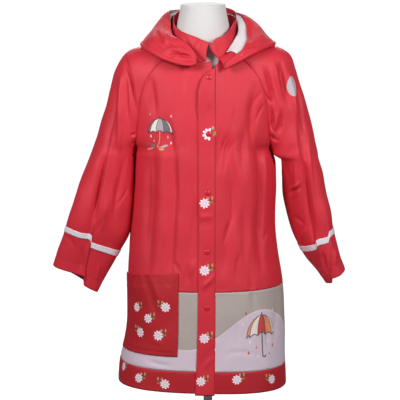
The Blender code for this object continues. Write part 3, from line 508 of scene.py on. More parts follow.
def body_line(index, back, turns):
    """Points of one row at signed angles from its middle, + to the wearer's left."""
    lines = []
    for side in (-1, 1):
        level = LEVELS[side, back][index]
        flat = squareness(level, turns)
        x = level.spread * np.sin(turns) / flat
        y = level.depth * np.cos(turns) / flat
        rise = (turns / seam_turn(level)) ** 2
        z = level.middle + (level.seam_height - level.middle) * rise
        lines.append(np.stack((x, y if back else -y, z), axis=-1))
    return np.where(turns[..., None] < 0.0, lines[0], lines[1])


def front_table(start, end, columns):
    """Table rows of part of the front. Start and end give each row's first and last
    turn: a distance across in metres, or None for the seam on that side."""
    rows = []
    for index in range(len(STATIONS)):
        ends = []
        for place, side in ((start, -1), (end, 1)):
            if place is None:
                ends.append(side * seam_turn(LEVELS[side, False][index]))
            else:
                level = LEVELS[1 if place > 0 else -1, False][index]
                ends.append(float(turn_at(level, place)))
        rows.append(body_line(index, False, np.linspace(ends[0], ends[1], columns)))
    return np.array(rows)


def back_table(columns):
    """Table rows of the back, from the left side seam to the right one."""
    rows = []
    for index in range(len(STATIONS)):
        left = seam_turn(LEVELS[1, True][index])
        right = seam_turn(LEVELS[-1, True][index])
        rows.append(body_line(index, True, np.linspace(left, -right, columns)))
    return np.array(rows)


# --- sleeve points
def sleeve_table(rings, side, columns):
    """Stations and table rows of a sleeve, each from the front seam round the arm to the
    back one. Rows below the armhole are closed: they start and end next to the body."""
    angles = np.linspace(math.pi, -math.pi, columns)
    rows, stations = [], []
    for ring in rings:
        tilt = math.radians(ring.tilt)
        reach = ring.half * np.cos(angles)
        inner = np.interp(ring.height, INNER_HEIGHTS, INNER_POWERS)
        power = np.where(np.cos(angles) < 0.0, inner, OUTER_POWER)
        deep = np.sign(angles) * np.abs(np.sin(angles)) ** power * ring.depth
        x = side * (ring.out + reach * math.cos(tilt))
        y = -deep - ring.fore - ring.turn * reach
        rows.append(np.stack((x, y, ring.height + reach * math.sin(tilt)), axis=-1))
        stations.append(ring.height)
    first = len(COURSES) - 1
    shares = np.linspace(1.0, -1.0, columns)
    for index, shoulder in enumerate(SHOULDER):
        front, rear = (LEVELS[side, back][first + index] for back in (False, True))
        outer = shoulder.right if side < 0 else shoulder.left
        wrap = math.radians(shoulder.wrap)
        reach = (outer - front.seam) / (1.0 - math.cos(wrap))
        if shoulder.wrap >= 180.0:
            power = np.where(np.cos(wrap * shares) < 0.0, INNER_POWERS[-1], OUTER_POWER) - 1.0
            depth = UNDERARM_DEPTH * np.maximum(np.abs(np.sin(wrap * shares)), 1e-9) ** power
        else:
            turned = math.cos(seam_turn(front))
            flat = squareness(front, seam_turn(front))
            panel = np.where(shares > 0, front.depth, rear.depth)
            depth = panel * turned / flat / math.sin(wrap)
        seam_height = np.where(shares > 0, front.seam_height, rear.seam_height)
        x = side * (outer - reach + reach * np.cos(wrap * shares))
        z = seam_height + (shoulder.height - seam_height) * (1.0 - shares * shares)
        rows.append(np.stack((x, -depth * np.sin(wrap * shares), z), axis=-1))
        stations.append(YOKE[index].front_middle)
    return np.array(stations), np.array(rows)


# --- neck, collar and hood
NECK = YOKE[-1]           # the collar and the hood are sewn to the last row


def neck_height(turn):
    """Height of the neck seam, which dips at the front between the sleeves."""
    seam = math.degrees(math.asin(NECK.seam / NECK.spread))
    crest = SHOULDER[-1].height
    if turn < seam:
        return NECK.front_middle + (NECK.front_seam - NECK.front_middle) * (turn / seam) ** 2
    if turn > 180.0 - seam:
        share = (180.0 - turn) / seam
        return NECK.back_middle + (NECK.back_seam - NECK.back_middle) * share**2
    low = NECK.front_seam if turn < 90.0 else NECK.back_seam
    share = abs(turn - 90.0) / (90.0 - seam)
    return low + (crest - low) * (1.0 - share**2)


def neck_point(turn, out=0.0, up=0.0):
    """A point of the neck seam at degrees from the middle front."""
    angle = math.radians(turn)
    folded = abs((turn + 180.0) % 360.0 - 180.0)
    depth = NECK.front if folded < 90.0 else NECK.back
    x, y = (NECK.spread + out) * math.sin(angle), -(depth + out) * math.cos(angle)
    return np.array((x, y, neck_height(folded) + up))


def collar_grid(columns, rows):
    """The stand collar: its first column's end lies over the last one's."""
    stations = column(COLLAR, "turn")
    turns = np.linspace(stations[0], stations[-1], columns)
    steps = np.interp(turns, COLLAR_STEP_TURNS, COLLAR_STEPS_OUT)
    feet = np.array([neck_point(turn, step, LAY_GAP) for turn, step in zip(turns, steps)])
    posts = np.array([(post.x, post.y, post.height) for post in COLLAR])
    tops = smooth_rows(stations, posts[:, None, :], turns)[:, 0]
    shares = shares_of(rows)[:, None, None]
    grid = feet + (tops - feet) * shares
    # The front ends are cut hollow: where, and how many columns that reaches.
    for end, reach in ((0, 12), (columns - 1, 10)):
        fade = smooth_bump((np.arange(columns) - end) / reach)
        grid[..., 0] -= COLLAR_HOLLOW * arch(shares[..., 0]) * fade
    return grid


def hood_profile(section, lower, upper):
    """Points from the neck seam under the pouch, round the fold and to the rim."""
    neck = neck_point(180.0 + section.turn, HOOD_STEP_OUT, HOOD_STEP_UP)
    fold = np.array((section.fold_x, section.fold_y, section.fold_z))
    rim = np.array((section.rim_x, section.rim_y, section.rim_z))
    run = unit(fold - neck)
    lift_way = unit(np.array((0.0, 0.0, 1.0)) - run[2] * run)
    under, over = (fold + side * lift_way * section.puff for side in (-1, 1))
    points = []
    for s in shares_of(lower):
        points.append(neck + (under - neck) * s + lift_way * section.lift * arch(s))
    for angle in np.radians((-60.0, -30.0, 0.0, 30.0, 60.0)):
        points.append(fold + section.puff * (run * math.cos(angle) + lift_way * math.sin(angle)))
    for s in shares_of(upper):
        points.append(over + (rim - over) * s + lift_way * section.bulge * arch(s))
    return np.array(points)


def hood_grid(columns, lower, upper):
    """Rows run along the profile, columns at even turns round the neck."""
    stations = column(HOOD, "turn")
    turns = np.linspace(stations[0], stations[-1], columns)
    table = np.array([tuple(section) for section in HOOD])[:, None, :]
    sections = smooth_rows(stations, table, turns)[:, 0]
    profiles = [hood_profile(HoodSection(*row), lower, upper) for row in sections]
    return np.swapaxes(np.array(profiles), 0, 1)


# --- working the cloth
def run_lengths(grid, axis):
    """Length along the rows (axis 1) or the columns (axis 0), from the first point."""
    steps = np.linalg.norm(np.diff(grid, axis=axis), axis=-1)
    start = np.zeros_like(np.take(steps, [0], axis=axis))
    return np.cumsum(np.concatenate((start, steps), axis=axis), axis=axis)


def closed_rows(grid):
    """Which rows of a grid end where they start."""
    return np.linalg.norm(grid[:, 0] - grid[:, -1], axis=-1) < 1e-6


def outward_normals(grid, outward):
    """Unit normals; outward is 1 or -1 by the way the grid's columns run."""
    across = np.gradient(grid, axis=1)
    ring = closed_rows(grid)
    round_seam = grid[ring, 1] - grid[ring, -2]
    across[ring, 0] = across[ring, -1] = round_seam
    return unit(np.cross(across, np.gradient(grid, axis=0))) * outward


def seen_from_front(points):
    """Millimetres across and up in the view from in front, on the plane of the axis."""
    place = points * 1000.0
    rise = place[..., 2] - MIDDLE_HEIGHT
    toward = -place[..., 1] * math.cos(VIEW_TILT) + rise * math.sin(VIEW_TILT)
    size = VIEW_DISTANCE / (VIEW_DISTANCE - toward)
    up = place[..., 1] * math.sin(VIEW_TILT) + rise * math.cos(VIEW_TILT)
    return np.stack((place[..., 0] * size, MIDDLE_HEIGHT + up * size), axis=-1)


VIEW_WAY = np.array((0.0, -math.cos(VIEW_TILT), math.sin(VIEW_TILT)))
BACK_WAY = np.array((0.0, 1.0, 0.0))
CREASE_PLACES = 15        # along its path
CREASE_TAPER = 2.4        # how soon a crease is at its full depth


def crease_depths(flat, creases):
    """How far each place of a view, in millimetres, sinks in all the creases."""
    depth = np.zeros(flat.shape[:-1])
    steps = shares_of(CREASE_PLACES)[:, None]
    for crease in creases:
        start = np.array((crease.x0, crease.z0))
        end = np.array((crease.x2, crease.z2))
        control = 2.0 * np.array((crease.x1, crease.z1)) - 0.5 * (start + end)
        path = (1 - steps) ** 2 * start + 2 * steps * (1 - steps) * control + steps**2 * end
        reach = crease.width * (1.0 + abs(crease.skew)) + 0.5
        low, high = path.min(axis=0) - reach, path.max(axis=0) + reach
        near = np.all((flat > low) & (flat < high), axis=-1)
        if not near.any():
            continue
        places = flat[near]
        first, way = path[:-1], np.diff(path, axis=0)
        length = np.linalg.norm(way, axis=1)
        offset = places[:, None, :] - first[None]
        along = np.clip(np.sum(offset * way, axis=2) / length**2, 0.0, 1.0)
        away = np.linalg.norm(offset - along[..., None] * way, axis=2)
        best = np.argmin(away, axis=1)
        pick = np.arange(len(places))
        distance = away[pick, best]
        share = (best + along[pick, best]) / len(way)
        turn = way[best, 0] * offset[pick, best, 1] - way[best, 1] * offset[pick, best, 0]
        on_right = np.where(way[best, 1] < 0.0, turn > 0.0, turn < 0.0)
        width = crease.width * np.where(on_right, 1.0 - crease.skew, 1.0 + crease.skew)
        taper = CREASE_TAPER * np.minimum(share, 1.0 - share) + 0.02
        depth[near] += crease.depth * fold_profile(distance / width) * eased(taper)
    return depth


def small_creases(seed, box, count, length, width, depth):
    """Short random creases inside a box of the view, mostly running down it."""
    pick = np.random.default_rng(seed)
    found = []
    for _ in range(count):
        x, z = pick.uniform(box[0], box[2]), pick.uniform(box[1], box[3])
        size = pick.uniform(0.4, 1.0) * length
        lean = pick.normal(0.0, 0.35)
        bow = pick.normal(0.0, 0.08) * size
        dx, dz = size * math.sin(lean), size * math.cos(lean)
        sign = pick.choice((-1.0, 1.0, 1.0))
        path = (x - dx / 2, z + dz / 2, x + bow, z, x + dx / 2, z - dz / 2)
        wide, deep = pick.uniform(0.6, 1.4) * width, sign * pick.uniform(0.4, 1.0) * depth
        found.append(Crease(*path, wide, deep, pick.uniform(-0.3, 0.3)))
    return tuple(found)


WAVES = [
    (np.array(way) / length * 2.0 * math.pi, start, length)
    for way, start, length in (
        ((0.9, 0.3, 0.3), 0.4, 0.071), ((0.7, -0.5, -0.5), 2.1, 0.047),
        ((0.95, 0.1, -0.28), 4.0, 0.034), ((-0.4, 0.6, 0.69), 1.2, 0.083),
        ((0.8, 0.59, 0.1), 5.2, 0.027), ((0.2, -0.3, 0.93), 3.3, 0.058),
    )
]


def unevenness(points):
    """A soft, irregular rise and fall of the cloth, about 1 at most."""
    total = 0.0
    for way, start, length in WAVES:
        total = total + np.sin(points @ way + start) * length
    return total / sum(length for _, _, length in WAVES) * 1.8


BODY_DEEP = 1.7           # how much deeper than their table the front's creases are
SLEEVE_DEEP = 2.0
HOOD_DEEP = 1.8
LAID_DEEP = 1.4
FACING = 0.25             # how squarely cloth faces a view to crease at full depth
SEAM_FADE = 0.006         # creases fade out this close to a seam
VALLEY_DEPTH = 0.0004     # the cloth beside a seam stands this far above it
VALLEY_WIDTH = 0.0014


def worked(
    base, outward, front=(), back=(), seams=None, pleats=(), uneven=0.0006, deep=BODY_DEEP
):
    """The grid with its pleats, creases, unevenness and sewn valleys.
    Seams gives each point's distance from the nearest seam in metres."""
    normals = outward_normals(base, outward)
    grid = base.copy()
    toward = dot(normals, VIEW_WAY)
    for pleat in pleats:
        grid = pleated(grid, normals, eased(toward / 0.2), pleat)
    push = -0.001 * deep * crease_depths(seen_from_front(grid), front)
    push = push * eased(toward / FACING)
    behind = dot(normals, BACK_WAY)
    flat = np.stack((grid[..., 0], grid[..., 2]), axis=-1) * 1000.0
    push -= 0.001 * crease_depths(flat, back) * eased(behind / FACING)
    push += uneven * unevenness(base)
    if seams is not None:
        valley = VALLEY_DEPTH * (1.0 - np.exp(-seams / VALLEY_WIDTH))
        push = push * eased(seams / SEAM_FADE) + valley
    grid = grid + normals * push[..., None]
    ring = closed_rows(base)
    grid[ring, 0] = grid[ring, -1] = 0.5 * (grid[ring, 0] + grid[ring, -1])
    return grid


def pleated(grid, normals, weight, pleat):
    """The grid with one fold whose two sides have slipped along each other."""
    flat = seen_from_front(grid)
    span = pleat.z0 - pleat.z2
    share = np.clip((pleat.z0 - flat[..., 1]) / span, 0.0, 1.0)
    middle = (pleat.z0 - pleat.z1) / span
    start = (share - middle) * (share - 1.0) / middle * pleat.x0
    centre = share * (share - 1.0) / (middle * (middle - 1.0)) * pleat.x1
    line = start + centre + share * (share - middle) / (1.0 - middle) * pleat.x2
    away = flat[..., 0] - line
    over = 0.5 * (1.0 + np.tanh(away / 1.1))
    slips = []
    for rise, reach in ((pleat.left, pleat.left_reach), (pleat.right, -pleat.right_reach)):
        slip = np.interp(share, (0.0, middle, 1.0), rise)
        slips.append(slip * np.clip(1.0 + away / reach, 0.0, 1.0))
    slip = (slips[0] * (1.0 - over) + slips[1] * over) * 0.001 * weight
    near = np.exp(-np.abs(away) / 7.0) * eased(share / 0.3) * weight
    step = pleat.step * 0.001 * near * (0.6 * (1.0 - over) - 0.6 * over)
    along = unit(np.gradient(grid, axis=0))
    return grid + along * slip[..., None] + normals * step[..., None]


def seam_distances(grid, rows=(), sides=True):
    """Distance of each point from the grid's side seams and from seams along rows."""
    along = run_lengths(grid, 1)
    up = run_lengths(grid, 0)
    nearest = np.full(grid.shape[:2], 1.0)
    if sides:
        nearest = np.minimum(along, along[:, -1:] - along)
    for row in rows:
        nearest = np.minimum(nearest, np.abs(up - up[row]))
    return nearest


def moved_out(grid, distance, outward=1, base=None):
    """The grid moved by one distance or one for each point, along its own normals or
    those of the base it was worked from."""
    normals = outward_normals(grid if base is None else base, outward)
    return grid + normals * np.asarray(distance)[..., None]


# --- making meshes
FINISHED = {}             # each finished cloth: its grid, and which way is out


def new_object(name, mesh, node=None):
    """An object that rides with the coat. With a node, it stands for that node."""
    piece = bpy.data.objects.new(name, mesh)
    bpy.context.scene.collection.objects.link(piece)
    if node:
        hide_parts(node)
    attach(piece, "root")
    return piece


def grid_mesh(name, grid, outward, cut):
    """A quad mesh of the grid, with the flat cut as its UV map, in metres."""
    index = np.arange(grid[..., 0].size).reshape(grid.shape[:2])
    corners = (index[:-1, :-1], index[:-1, 1:], index[1:, 1:], index[1:, :-1])
    faces = np.stack(corners, axis=-1).reshape(-1, 4)[:, ::outward]
    mesh = bpy.data.meshes.new(name)
    mesh.from_pydata((grid.reshape(-1, 3) + HANG).tolist(), [], faces.tolist())
    layer = mesh.uv_layers.new(name="cut")
    layer.data.foreach_set("uv", cut.reshape(-1, 2)[faces.ravel()].ravel())
    shape = bmesh.new()
    shape.from_mesh(mesh)
    bmesh.ops.remove_doubles(shape, verts=shape.verts, dist=1e-6)
    shape.to_mesh(mesh)
    shape.free()
    mesh.shade_smooth()
    return mesh


def cut_map(grid):
    """Lengths across and up the grid, from its middle and its foot."""
    along = run_lengths(grid, 1)
    return np.stack((along - 0.5 * along[:, -1:], run_lengths(grid, 0)), axis=-1)


def surface_area(grid):
    across, up = np.diff(grid, axis=1)[:-1], np.diff(grid, axis=0)[:, :-1]
    return float(np.linalg.norm(np.cross(across, up), axis=-1).sum())


def cloth_piece(name, grid, base, thickness, outward=1, cut=None):
    """One cut and sewn piece: a cloth wall that grows inward from its finished grid.
    Its material has the name of its slot."""
    shown = f"{name}_cloth"
    mesh = grid_mesh(shown, grid, outward, cut_map(base) if cut is None else cut)
    slot = SLOTS.get(name, "coated_cloth")
    mesh.materials.append(MATERIALS[slot])
    piece = new_object(shown, mesh, name)
    wall = piece.modifiers.new("wall", "SOLIDIFY")
    wall.thickness = thickness
    wall.offset = -1.0
    wall.use_quality_normals = True
    area = surface_area(base)
    width = float(run_lengths(base, 1)[:, -1].max())
    length = max(float(run_lengths(base, 0)[-1].max()), area / width)
    FINISHED[name] = (grid, outward)


# --- laying things on the cloth
def spot_seen(name, across, up):
    """Row and column of the place on a finished cloth that is seen there from in front."""
    grid, outward = FINISHED[name]
    flat = seen_from_front(grid)
    away = np.linalg.norm(flat - (across, up), axis=-1)
    hidden = dot(outward_normals(grid, outward), VIEW_WAY) < 0.02
    i, j = np.unravel_index(np.argmin(away + 1000.0 * hidden), away.shape)
    i, j = min(max(i, 1), grid.shape[0] - 2), min(max(j, 1), grid.shape[1] - 2)
    by_row = 0.5 * (flat[i + 1, j] - flat[i - 1, j])
    by_column = 0.5 * (flat[i, j + 1] - flat[i, j - 1])
    ways = np.stack((by_row, by_column), axis=1)
    step = np.linalg.lstsq(ways, np.array((across, up)) - flat[i, j], rcond=None)[0]
    return np.array((i, j)) + np.clip(step, -1.5, 1.5)


def spot_at(name, across_share, up_share):
    """Row and column at shares of the cloth's width and height."""
    rows, columns = FINISHED[name][0].shape[:2]
    return np.array((up_share * (rows - 1), across_share * (columns - 1)))


def sampled(values, places):
    """Values of a grid between its points, at rows and columns given as fractions."""
    rows, columns = values.shape[:2]
    i = np.clip(places[..., 0], 0.0, rows - 1.001)
    j = np.clip(places[..., 1], 0.0, columns - 1.001)
    k, m = i.astype(int), j.astype(int)
    s, t = (i - k)[..., None], (j - m)[..., None]
    low = values[k, m] * (1 - t) + values[k, m + 1] * t
    high = values[k + 1, m] * (1 - t) + values[k + 1, m + 1] * t
    return low * (1 - s) + high * s


def laid_on(name, spot, shape, lift):
    """Points of a flat shape, in millimetres across and up, laid on a finished cloth."""
    grid, outward = FINISHED[name]
    i, j = int(np.clip(spot[0], 2, len(grid) - 3)), int(np.clip(spot[1], 2, grid.shape[1] - 3))
    by_row = (grid[i + 2, j] - grid[i - 2, j]) / 4.0
    by_column = (grid[i, j + 2] - grid[i, j - 2]) / 4.0
    out = unit(np.cross(by_column, by_row)) * outward
    right = unit(np.cross((0.0, 0.0, 1.0), out))
    up = np.cross(out, right)
    ways = np.array(((by_row @ right, by_column @ right), (by_row @ up, by_column @ up)))
    steps = np.linalg.solve(ways, (np.asarray(shape, float) * 0.001).T).T
    places = spot + steps
    normals = sampled(outward_normals(grid, outward), places)
    return sampled(grid, places) + unit(normals) * lift


# How far above the cloth the layers of a print lie.
STEM_LIFT = 0.00020
INK_LIFT = 0.00022
INK_STEP = 0.00002        # between shapes that overlap
PETAL_LIFT = 0.00026
TOP_LIFT = 0.00030
PANEL_LIFT = 0.00034
PIPING_LIFT = 0.00044


class Printing:
    """Collects the shapes printed or sewn on cloth and makes them one mesh."""

    def __init__(self, name=None):
        self.name = name
        self.points, self.faces, self.inks, self.used = [], [], [], []

    def add(self, points, faces, ink):
        if ink not in self.used:
            self.used.append(ink)
        start = sum(len(part) for part in self.points)
        self.points.append(points)
        self.faces += [[start + corner for corner in face] for face in faces]
        self.inks += [self.used.index(ink)] * len(faces)

    def blob(self, spot, outline, ink, lift=INK_LIFT, rings=3):
        """A shape filled from its middle: its outline goes anticlockwise."""
        outline = np.asarray(outline, float)
        middle = outline.mean(axis=0)
        flat = [middle[None]]
        flat += [middle + (outline - middle) * (ring / rings) for ring in range(1, rings + 1)]
        count = len(outline)
        faces = [(0, 1 + k, 1 + (k + 1) % count) for k in range(count)]
        for inner in range(1, 1 + (rings - 1) * count, count):
            for k in range(count):
                after = inner + (k + 1) % count
                faces.append((inner + k, inner + k + count, after + count, after))
        self.add(laid_on(self.name, spot, np.concatenate(flat), lift), faces, ink)

    def patch(self, spot, grid, ink, lift):
        """A shape filled as rows of points, from its top down and from left to right."""
        rows, columns = grid.shape[:2]
        starts = [i * columns + j for i in range(rows - 1) for j in range(columns - 1)]
        faces = [(k, k + columns, k + columns + 1, k + 1) for k in starts]
        self.add(laid_on(self.name, spot, grid.reshape(-1, 2), lift), faces, ink)

    def ribbon(self, spot, path, width, ink, lift):
        """A line of even width along a path."""
        path = np.asarray(path, float)
        way = unit(np.gradient(path, axis=0))
        side = np.stack((-way[:, 1], way[:, 0]), axis=1) * 0.5 * width
        flat = np.concatenate((path - side, path + side))
        count = len(path)
        faces = [(k, k + 1, count + k + 1, count + k) for k in range(count - 1)]
        self.add(laid_on(self.name, spot, flat, lift), faces, ink)

    def drops(self, spot, rows):
        """Raindrops: across and up from the spot, size and ink."""
        for x, y, size, ink in rows:
            self.blob(spot, drop(x, y, size), ink, rings=2)

    def finish(self, piece_name):
        mesh = bpy.data.meshes.new(piece_name)
        points = np.concatenate(self.points) + HANG
        mesh.from_pydata(points.tolist(), [], self.faces)
        for ink in self.used:
            mesh.materials.append(MATERIALS[ink])
        mesh.polygons.foreach_set("material_index", self.inks)
        mesh.shade_smooth()
        new_object(piece_name, mesh)


def turned_out(x, y, along, side, turn):
    """Places along and beside a way that is turned by degrees from the across, from x, y."""
    cos, sin = math.cos(math.radians(turn)), math.sin(math.radians(turn))
    return np.stack((x + along * cos - side * sin, y + along * sin + side * cos), axis=1)


def oval(x, y, half_width, half_height, turn=0.0, count=16):
    """An ellipse's outline, turned by degrees."""
    angles = round_angles(count)
    return turned_out(x, y, half_width * np.cos(angles), half_height * np.sin(angles), turn)


def leaf(x, y, length, width, turn):
    """A pointed leaf's outline from its stalk at x, y, growing that way."""
    s = shares_of(8)
    half = 0.5 * width * np.sin(math.pi * s) ** 0.8
    along = np.concatenate((s, s[-2:0:-1])) * length
    return turned_out(x, y, along, np.concatenate((-half, half[-2:0:-1])), turn)


def drop(x, y, size):
    """A raindrop's outline, its point upward."""
    angles = round_angles(18)
    across = np.sin(angles) * np.sin(angles / 2.0) ** 1.4
    return np.stack((x + size * 0.62 * across, y + size * np.cos(angles)), axis=1)[::-1]


# --- the prints
# Cloth, across and up as seen from in front, size, turn, and the sprig's side: 1 or -1.
FLOWERS = (
    ("placket", 2.6, 555.0, 0.98, 22, 1), ("placket", 2.6, 434.0, 1.0, 5, 1),
    ("placket", 2.2, 311.6, 0.98, 31, 1), ("placket", -4.0, 234.3, 0.92, 12, 1),
    ("pocket", -119.2, 368.4, 0.92, 14, 1), ("pocket", -67.7, 367.9, 0.96, 30, -1),
    ("pocket", -99.0, 347.7, 0.92, 3, 1), ("pocket", -112.7, 322.9, 0.96, 18, -1),
    ("pocket", -80.6, 317.1, 1.0, 26, 1), ("hem_right", -142.6, 261.7, 0.85, 9, 1),
    ("hem_right", -115.9, 240.8, 0.92, 21, 1), ("hem_right", -68.6, 229.6, 0.95, 2, -1),
    ("hem_left", 60.7, 237.4, 0.95, 12, 1), ("hem_left", 123.7, 238.6, 0.92, 27, -1),
)
# Across and up as shares of the back's hem band, then size, turn and sprig.
BACK_FLOWERS = (
    (0.07, 0.45, 0.92, 4, 1), (0.19, 0.62, 0.95, 20, -1), (0.31, 0.38, 0.95, 11, 1),
    (0.44, 0.55, 1.00, 28, 1), (0.58, 0.42, 0.94, 7, -1), (0.70, 0.60, 0.96, 16, 1),
    (0.83, 0.40, 0.92, 33, 1), (0.94, 0.58, 0.90, 2, -1),
)
# The sprig's leaves: across and up from the flower's middle, length, width, turn, ink.
SPRIG = (
    (6.8, -3.2, 8.0, 4.2, 66, "leaf_green"), (6.6, 5.6, 6.8, 3.8, 96, "leaf_tan"),
    (13.2, 5.6, 7.8, 3.8, 84, "leaf_tan"), (9.2, 4.6, 6.4, 2.6, 62, "leaf_brown"),
    (11.2, 0.6, 6.6, 3.0, 20, "leaf_green"), (14.6, 0.9, 5.4, 2.4, 48, "leaf_brown"),
)


STEM = ((4.0, -1.0), (9.8, 3.0), (14.4, 8.2))
PETAL_REACH = 6.2
# The two rounds of a flower's heart: radius, ink and lift.
HEART = ((4.4, "petal_lilac", 0.00034), (1.7, "petal_white", 0.00038))
# Raindrops: across and up from the umbrella's foot, size and ink.
CHEST_DROPS = (
    (-17, -7, 3.0, "ink_cream"), (-10, -15, 2.6, "ink_pale_grey"),
    (14, -8, 3.0, "ink_pale_grey"), (20, -18, 2.6, "ink_cream"), (-19, -22, 2.4, "ink_grey"),
    (11, -22, 2.4, "ink_grey"), (-21, 31, 2.2, "ink_pale_grey"), (20, 30, 2.4, "ink_cream"),
)
BORDER_DROPS = (
    (-24, -10, 4.0, "ink_cream"), (-12, -21, 3.6, "ink_apricot"), (14, -12, 4.0, "ink_cream"),
    (25, -22, 3.6, "ink_coral"), (-27, -30, 3.4, "ink_coral"), (-10, -37, 3.2, "ink_cream"),
    (15, -35, 3.4, "ink_apricot"), (-37, 22, 3.8, "ink_cream"), (-31, 42, 3.2, "ink_coral"),
    (29, 42, 3.4, "ink_cream"), (2, 51, 3.2, "ink_apricot"),
)
# Leaves at the umbrella's foot: across and up, length, turn and ink.
CHEST_LEAVES = (
    (-3, -27, 12, 156, "ink_grey"), (-3, -29, 11, 196, "ink_apricot"),
    (6, -27, 12, 24, "ink_pale_grey"), (6, -29, 11, -14, "ink_apricot"),
)


def print_flower(printing, spot, size, turn, sprig, petals=range(9)):
    """Nine petals round a pale heart, with a sprig of leaves beside it."""
    stem = np.array(STEM) * size
    stem[:, 0] *= sprig
    stops = np.linspace(0, 2, 7)
    path = np.stack([np.interp(stops, (0, 1, 2), stem[:, axis]) for axis in (0, 1)], 1)
    printing.ribbon(spot, path, 0.7 * size, "leaf_brown", STEM_LIFT)
    for number, (x, y, long, wide, way, ink) in enumerate(SPRIG):
        way = way if sprig > 0 else 180 - way
        outline = leaf(x * sprig * size, y * size, long * size, wide * size, way)
        printing.blob(spot, outline, ink, INK_LIFT + INK_STEP * (number % 2), rings=2)
    for petal in petals:
        angle = math.radians(turn + 40.0 * petal)
        reach = PETAL_REACH * size
        x, y = reach * math.cos(angle), reach * math.sin(angle)
        outline = oval(x, y, 3.2 * size, 1.95 * size, math.degrees(angle), 14)
        lift = PETAL_LIFT + INK_STEP * (petal % 3)
        printing.blob(spot, outline, "petal_white", lift, rings=2)
    if len(petals) == 9:
        for radius, ink, lift in HEART:
            printing.blob(spot, oval(0, 0, radius * size, radius * size), ink, lift, 2)


def umbrella_panels(width, height, count):
    """An open umbrella's panels seen from the side, as rows of points, scalloped below."""
    panels = []
    edges = np.sin(np.linspace(-1.0, 1.0, count + 1) * math.pi / 2.0)
    shares = shares_of(9)
    down = shares[:, None]
    for left, right in zip(edges[:-1], edges[1:]):
        edge = left + (right - left) * shares
        x = 0.5 * width * edge * np.sin(down * math.pi / 2.0)
        y = height * (np.cos(down * math.pi / 2.0) - 0.12 * down * np.abs(edge))
        y = y + 0.13 * height * arch(shares) * down**4
        panels.append(np.stack((x, y), axis=-1))
    return panels


def print_umbrella(printing, spot, width, height, inks, edge, handle, handle_length):
    """An open umbrella with a hooked handle, its foot at the spot."""
    hook = np.radians(np.linspace(180.0, 360.0, 10))
    bend = 0.055 * width
    shaft = np.linspace((0.0, height * 0.98), (0.0, -handle_length), 14)
    curl = np.stack((bend + bend * np.cos(hook), -handle_length + bend * np.sin(hook)), axis=1)
    printing.ribbon(spot, np.concatenate((shaft, curl[1:])), 0.032 * width, handle, INK_LIFT)
    for number, panel in enumerate(umbrella_panels(width, height, 5)):
        printing.patch(spot, panel, inks[number % len(inks)], PANEL_LIFT)
        for line, share in ((panel[-1], 0.022), (panel[:, 0], 0.014), (panel[:, -1], 0.014)):
            printing.ribbon(spot, line, share * width, edge, PIPING_LIFT)
    tip = np.linspace((0.0, height * 0.97), (0.0, height * 1.12), 4)
    printing.ribbon(spot, tip, 0.03 * width, edge, TOP_LIFT)


def print_chest():
    """The umbrella, leaves and raindrops on the wearer's right chest."""
    printing = Printing("front_right")
    spot = spot_seen("front_right", -78.0, 683.0)
    inks = ("ink_grey", "ink_cream", "ink_pale_grey")
    print_umbrella(printing, spot, 46.0, 25.0, inks, "ink_black", "ink_apricot", 25.0)
    printing.drops(spot, CHEST_DROPS)
    for x, y, length, turn, ink in CHEST_LEAVES:
        printing.blob(spot, leaf(x, y, length, 4.6, turn), ink)
    printing.finish("front_right_print")


def print_border():
    """The larger umbrella and its raindrops on the border of the left front."""
    printing = Printing("border_left")
    spot = spot_seen("border_left", 106.0, 319.0)
    inks = ("ink_apricot", "ink_cream", "ink_coral")
    print_umbrella(printing, spot, 60.0, 36.0, inks, "ink_taupe_dark", "ink_taupe_dark", 37.0)
    printing.drops(spot, BORDER_DROPS)
    printing.finish("border_left_print")


def print_flowers():
    """The flowers of the placket, the pocket and the hem band."""
    printings = {"placket": Printing("placket")}
    spot = spot_seen("placket", *SNAP_PLACES[3])
    print_flower(printings["placket"], spot, 1.22, 75, 1, petals=range(6))
    for cloth, across, up, size, turn, sprig in FLOWERS:
        printing = printings.setdefault(cloth, Printing(cloth))
        print_flower(printing, spot_seen(cloth, across, up), size, turn, sprig)
    printing = printings["hem_back"] = Printing("hem_back")
    for across, up, size, turn, sprig in BACK_FLOWERS:
        print_flower(printing, spot_at("hem_back", across, up), size, turn, sprig)
    for cloth, printing in printings.items():
        printing.finish(f"{cloth}_flowers")


def print_sleeve():
    """The plain reflective oval on the wearer's left sleeve."""
    printing = Printing("sleeve_left")
    spot = spot_seen("sleeve_left", 160.0, 766.0)
    shape = oval(4.0, 0.0, 13.0, 18.0, count=36)
    printing.blob(spot, shape, "reflective_print", TOP_LIFT, rings=8)
    printing.finish("sleeve_left_print")


# --- stitches
STITCH_SPACING = 0.0036
STITCH_LENGTH = 0.0026
STITCH_RADIUS = 0.00028
STITCH_LIFT = 0.00012


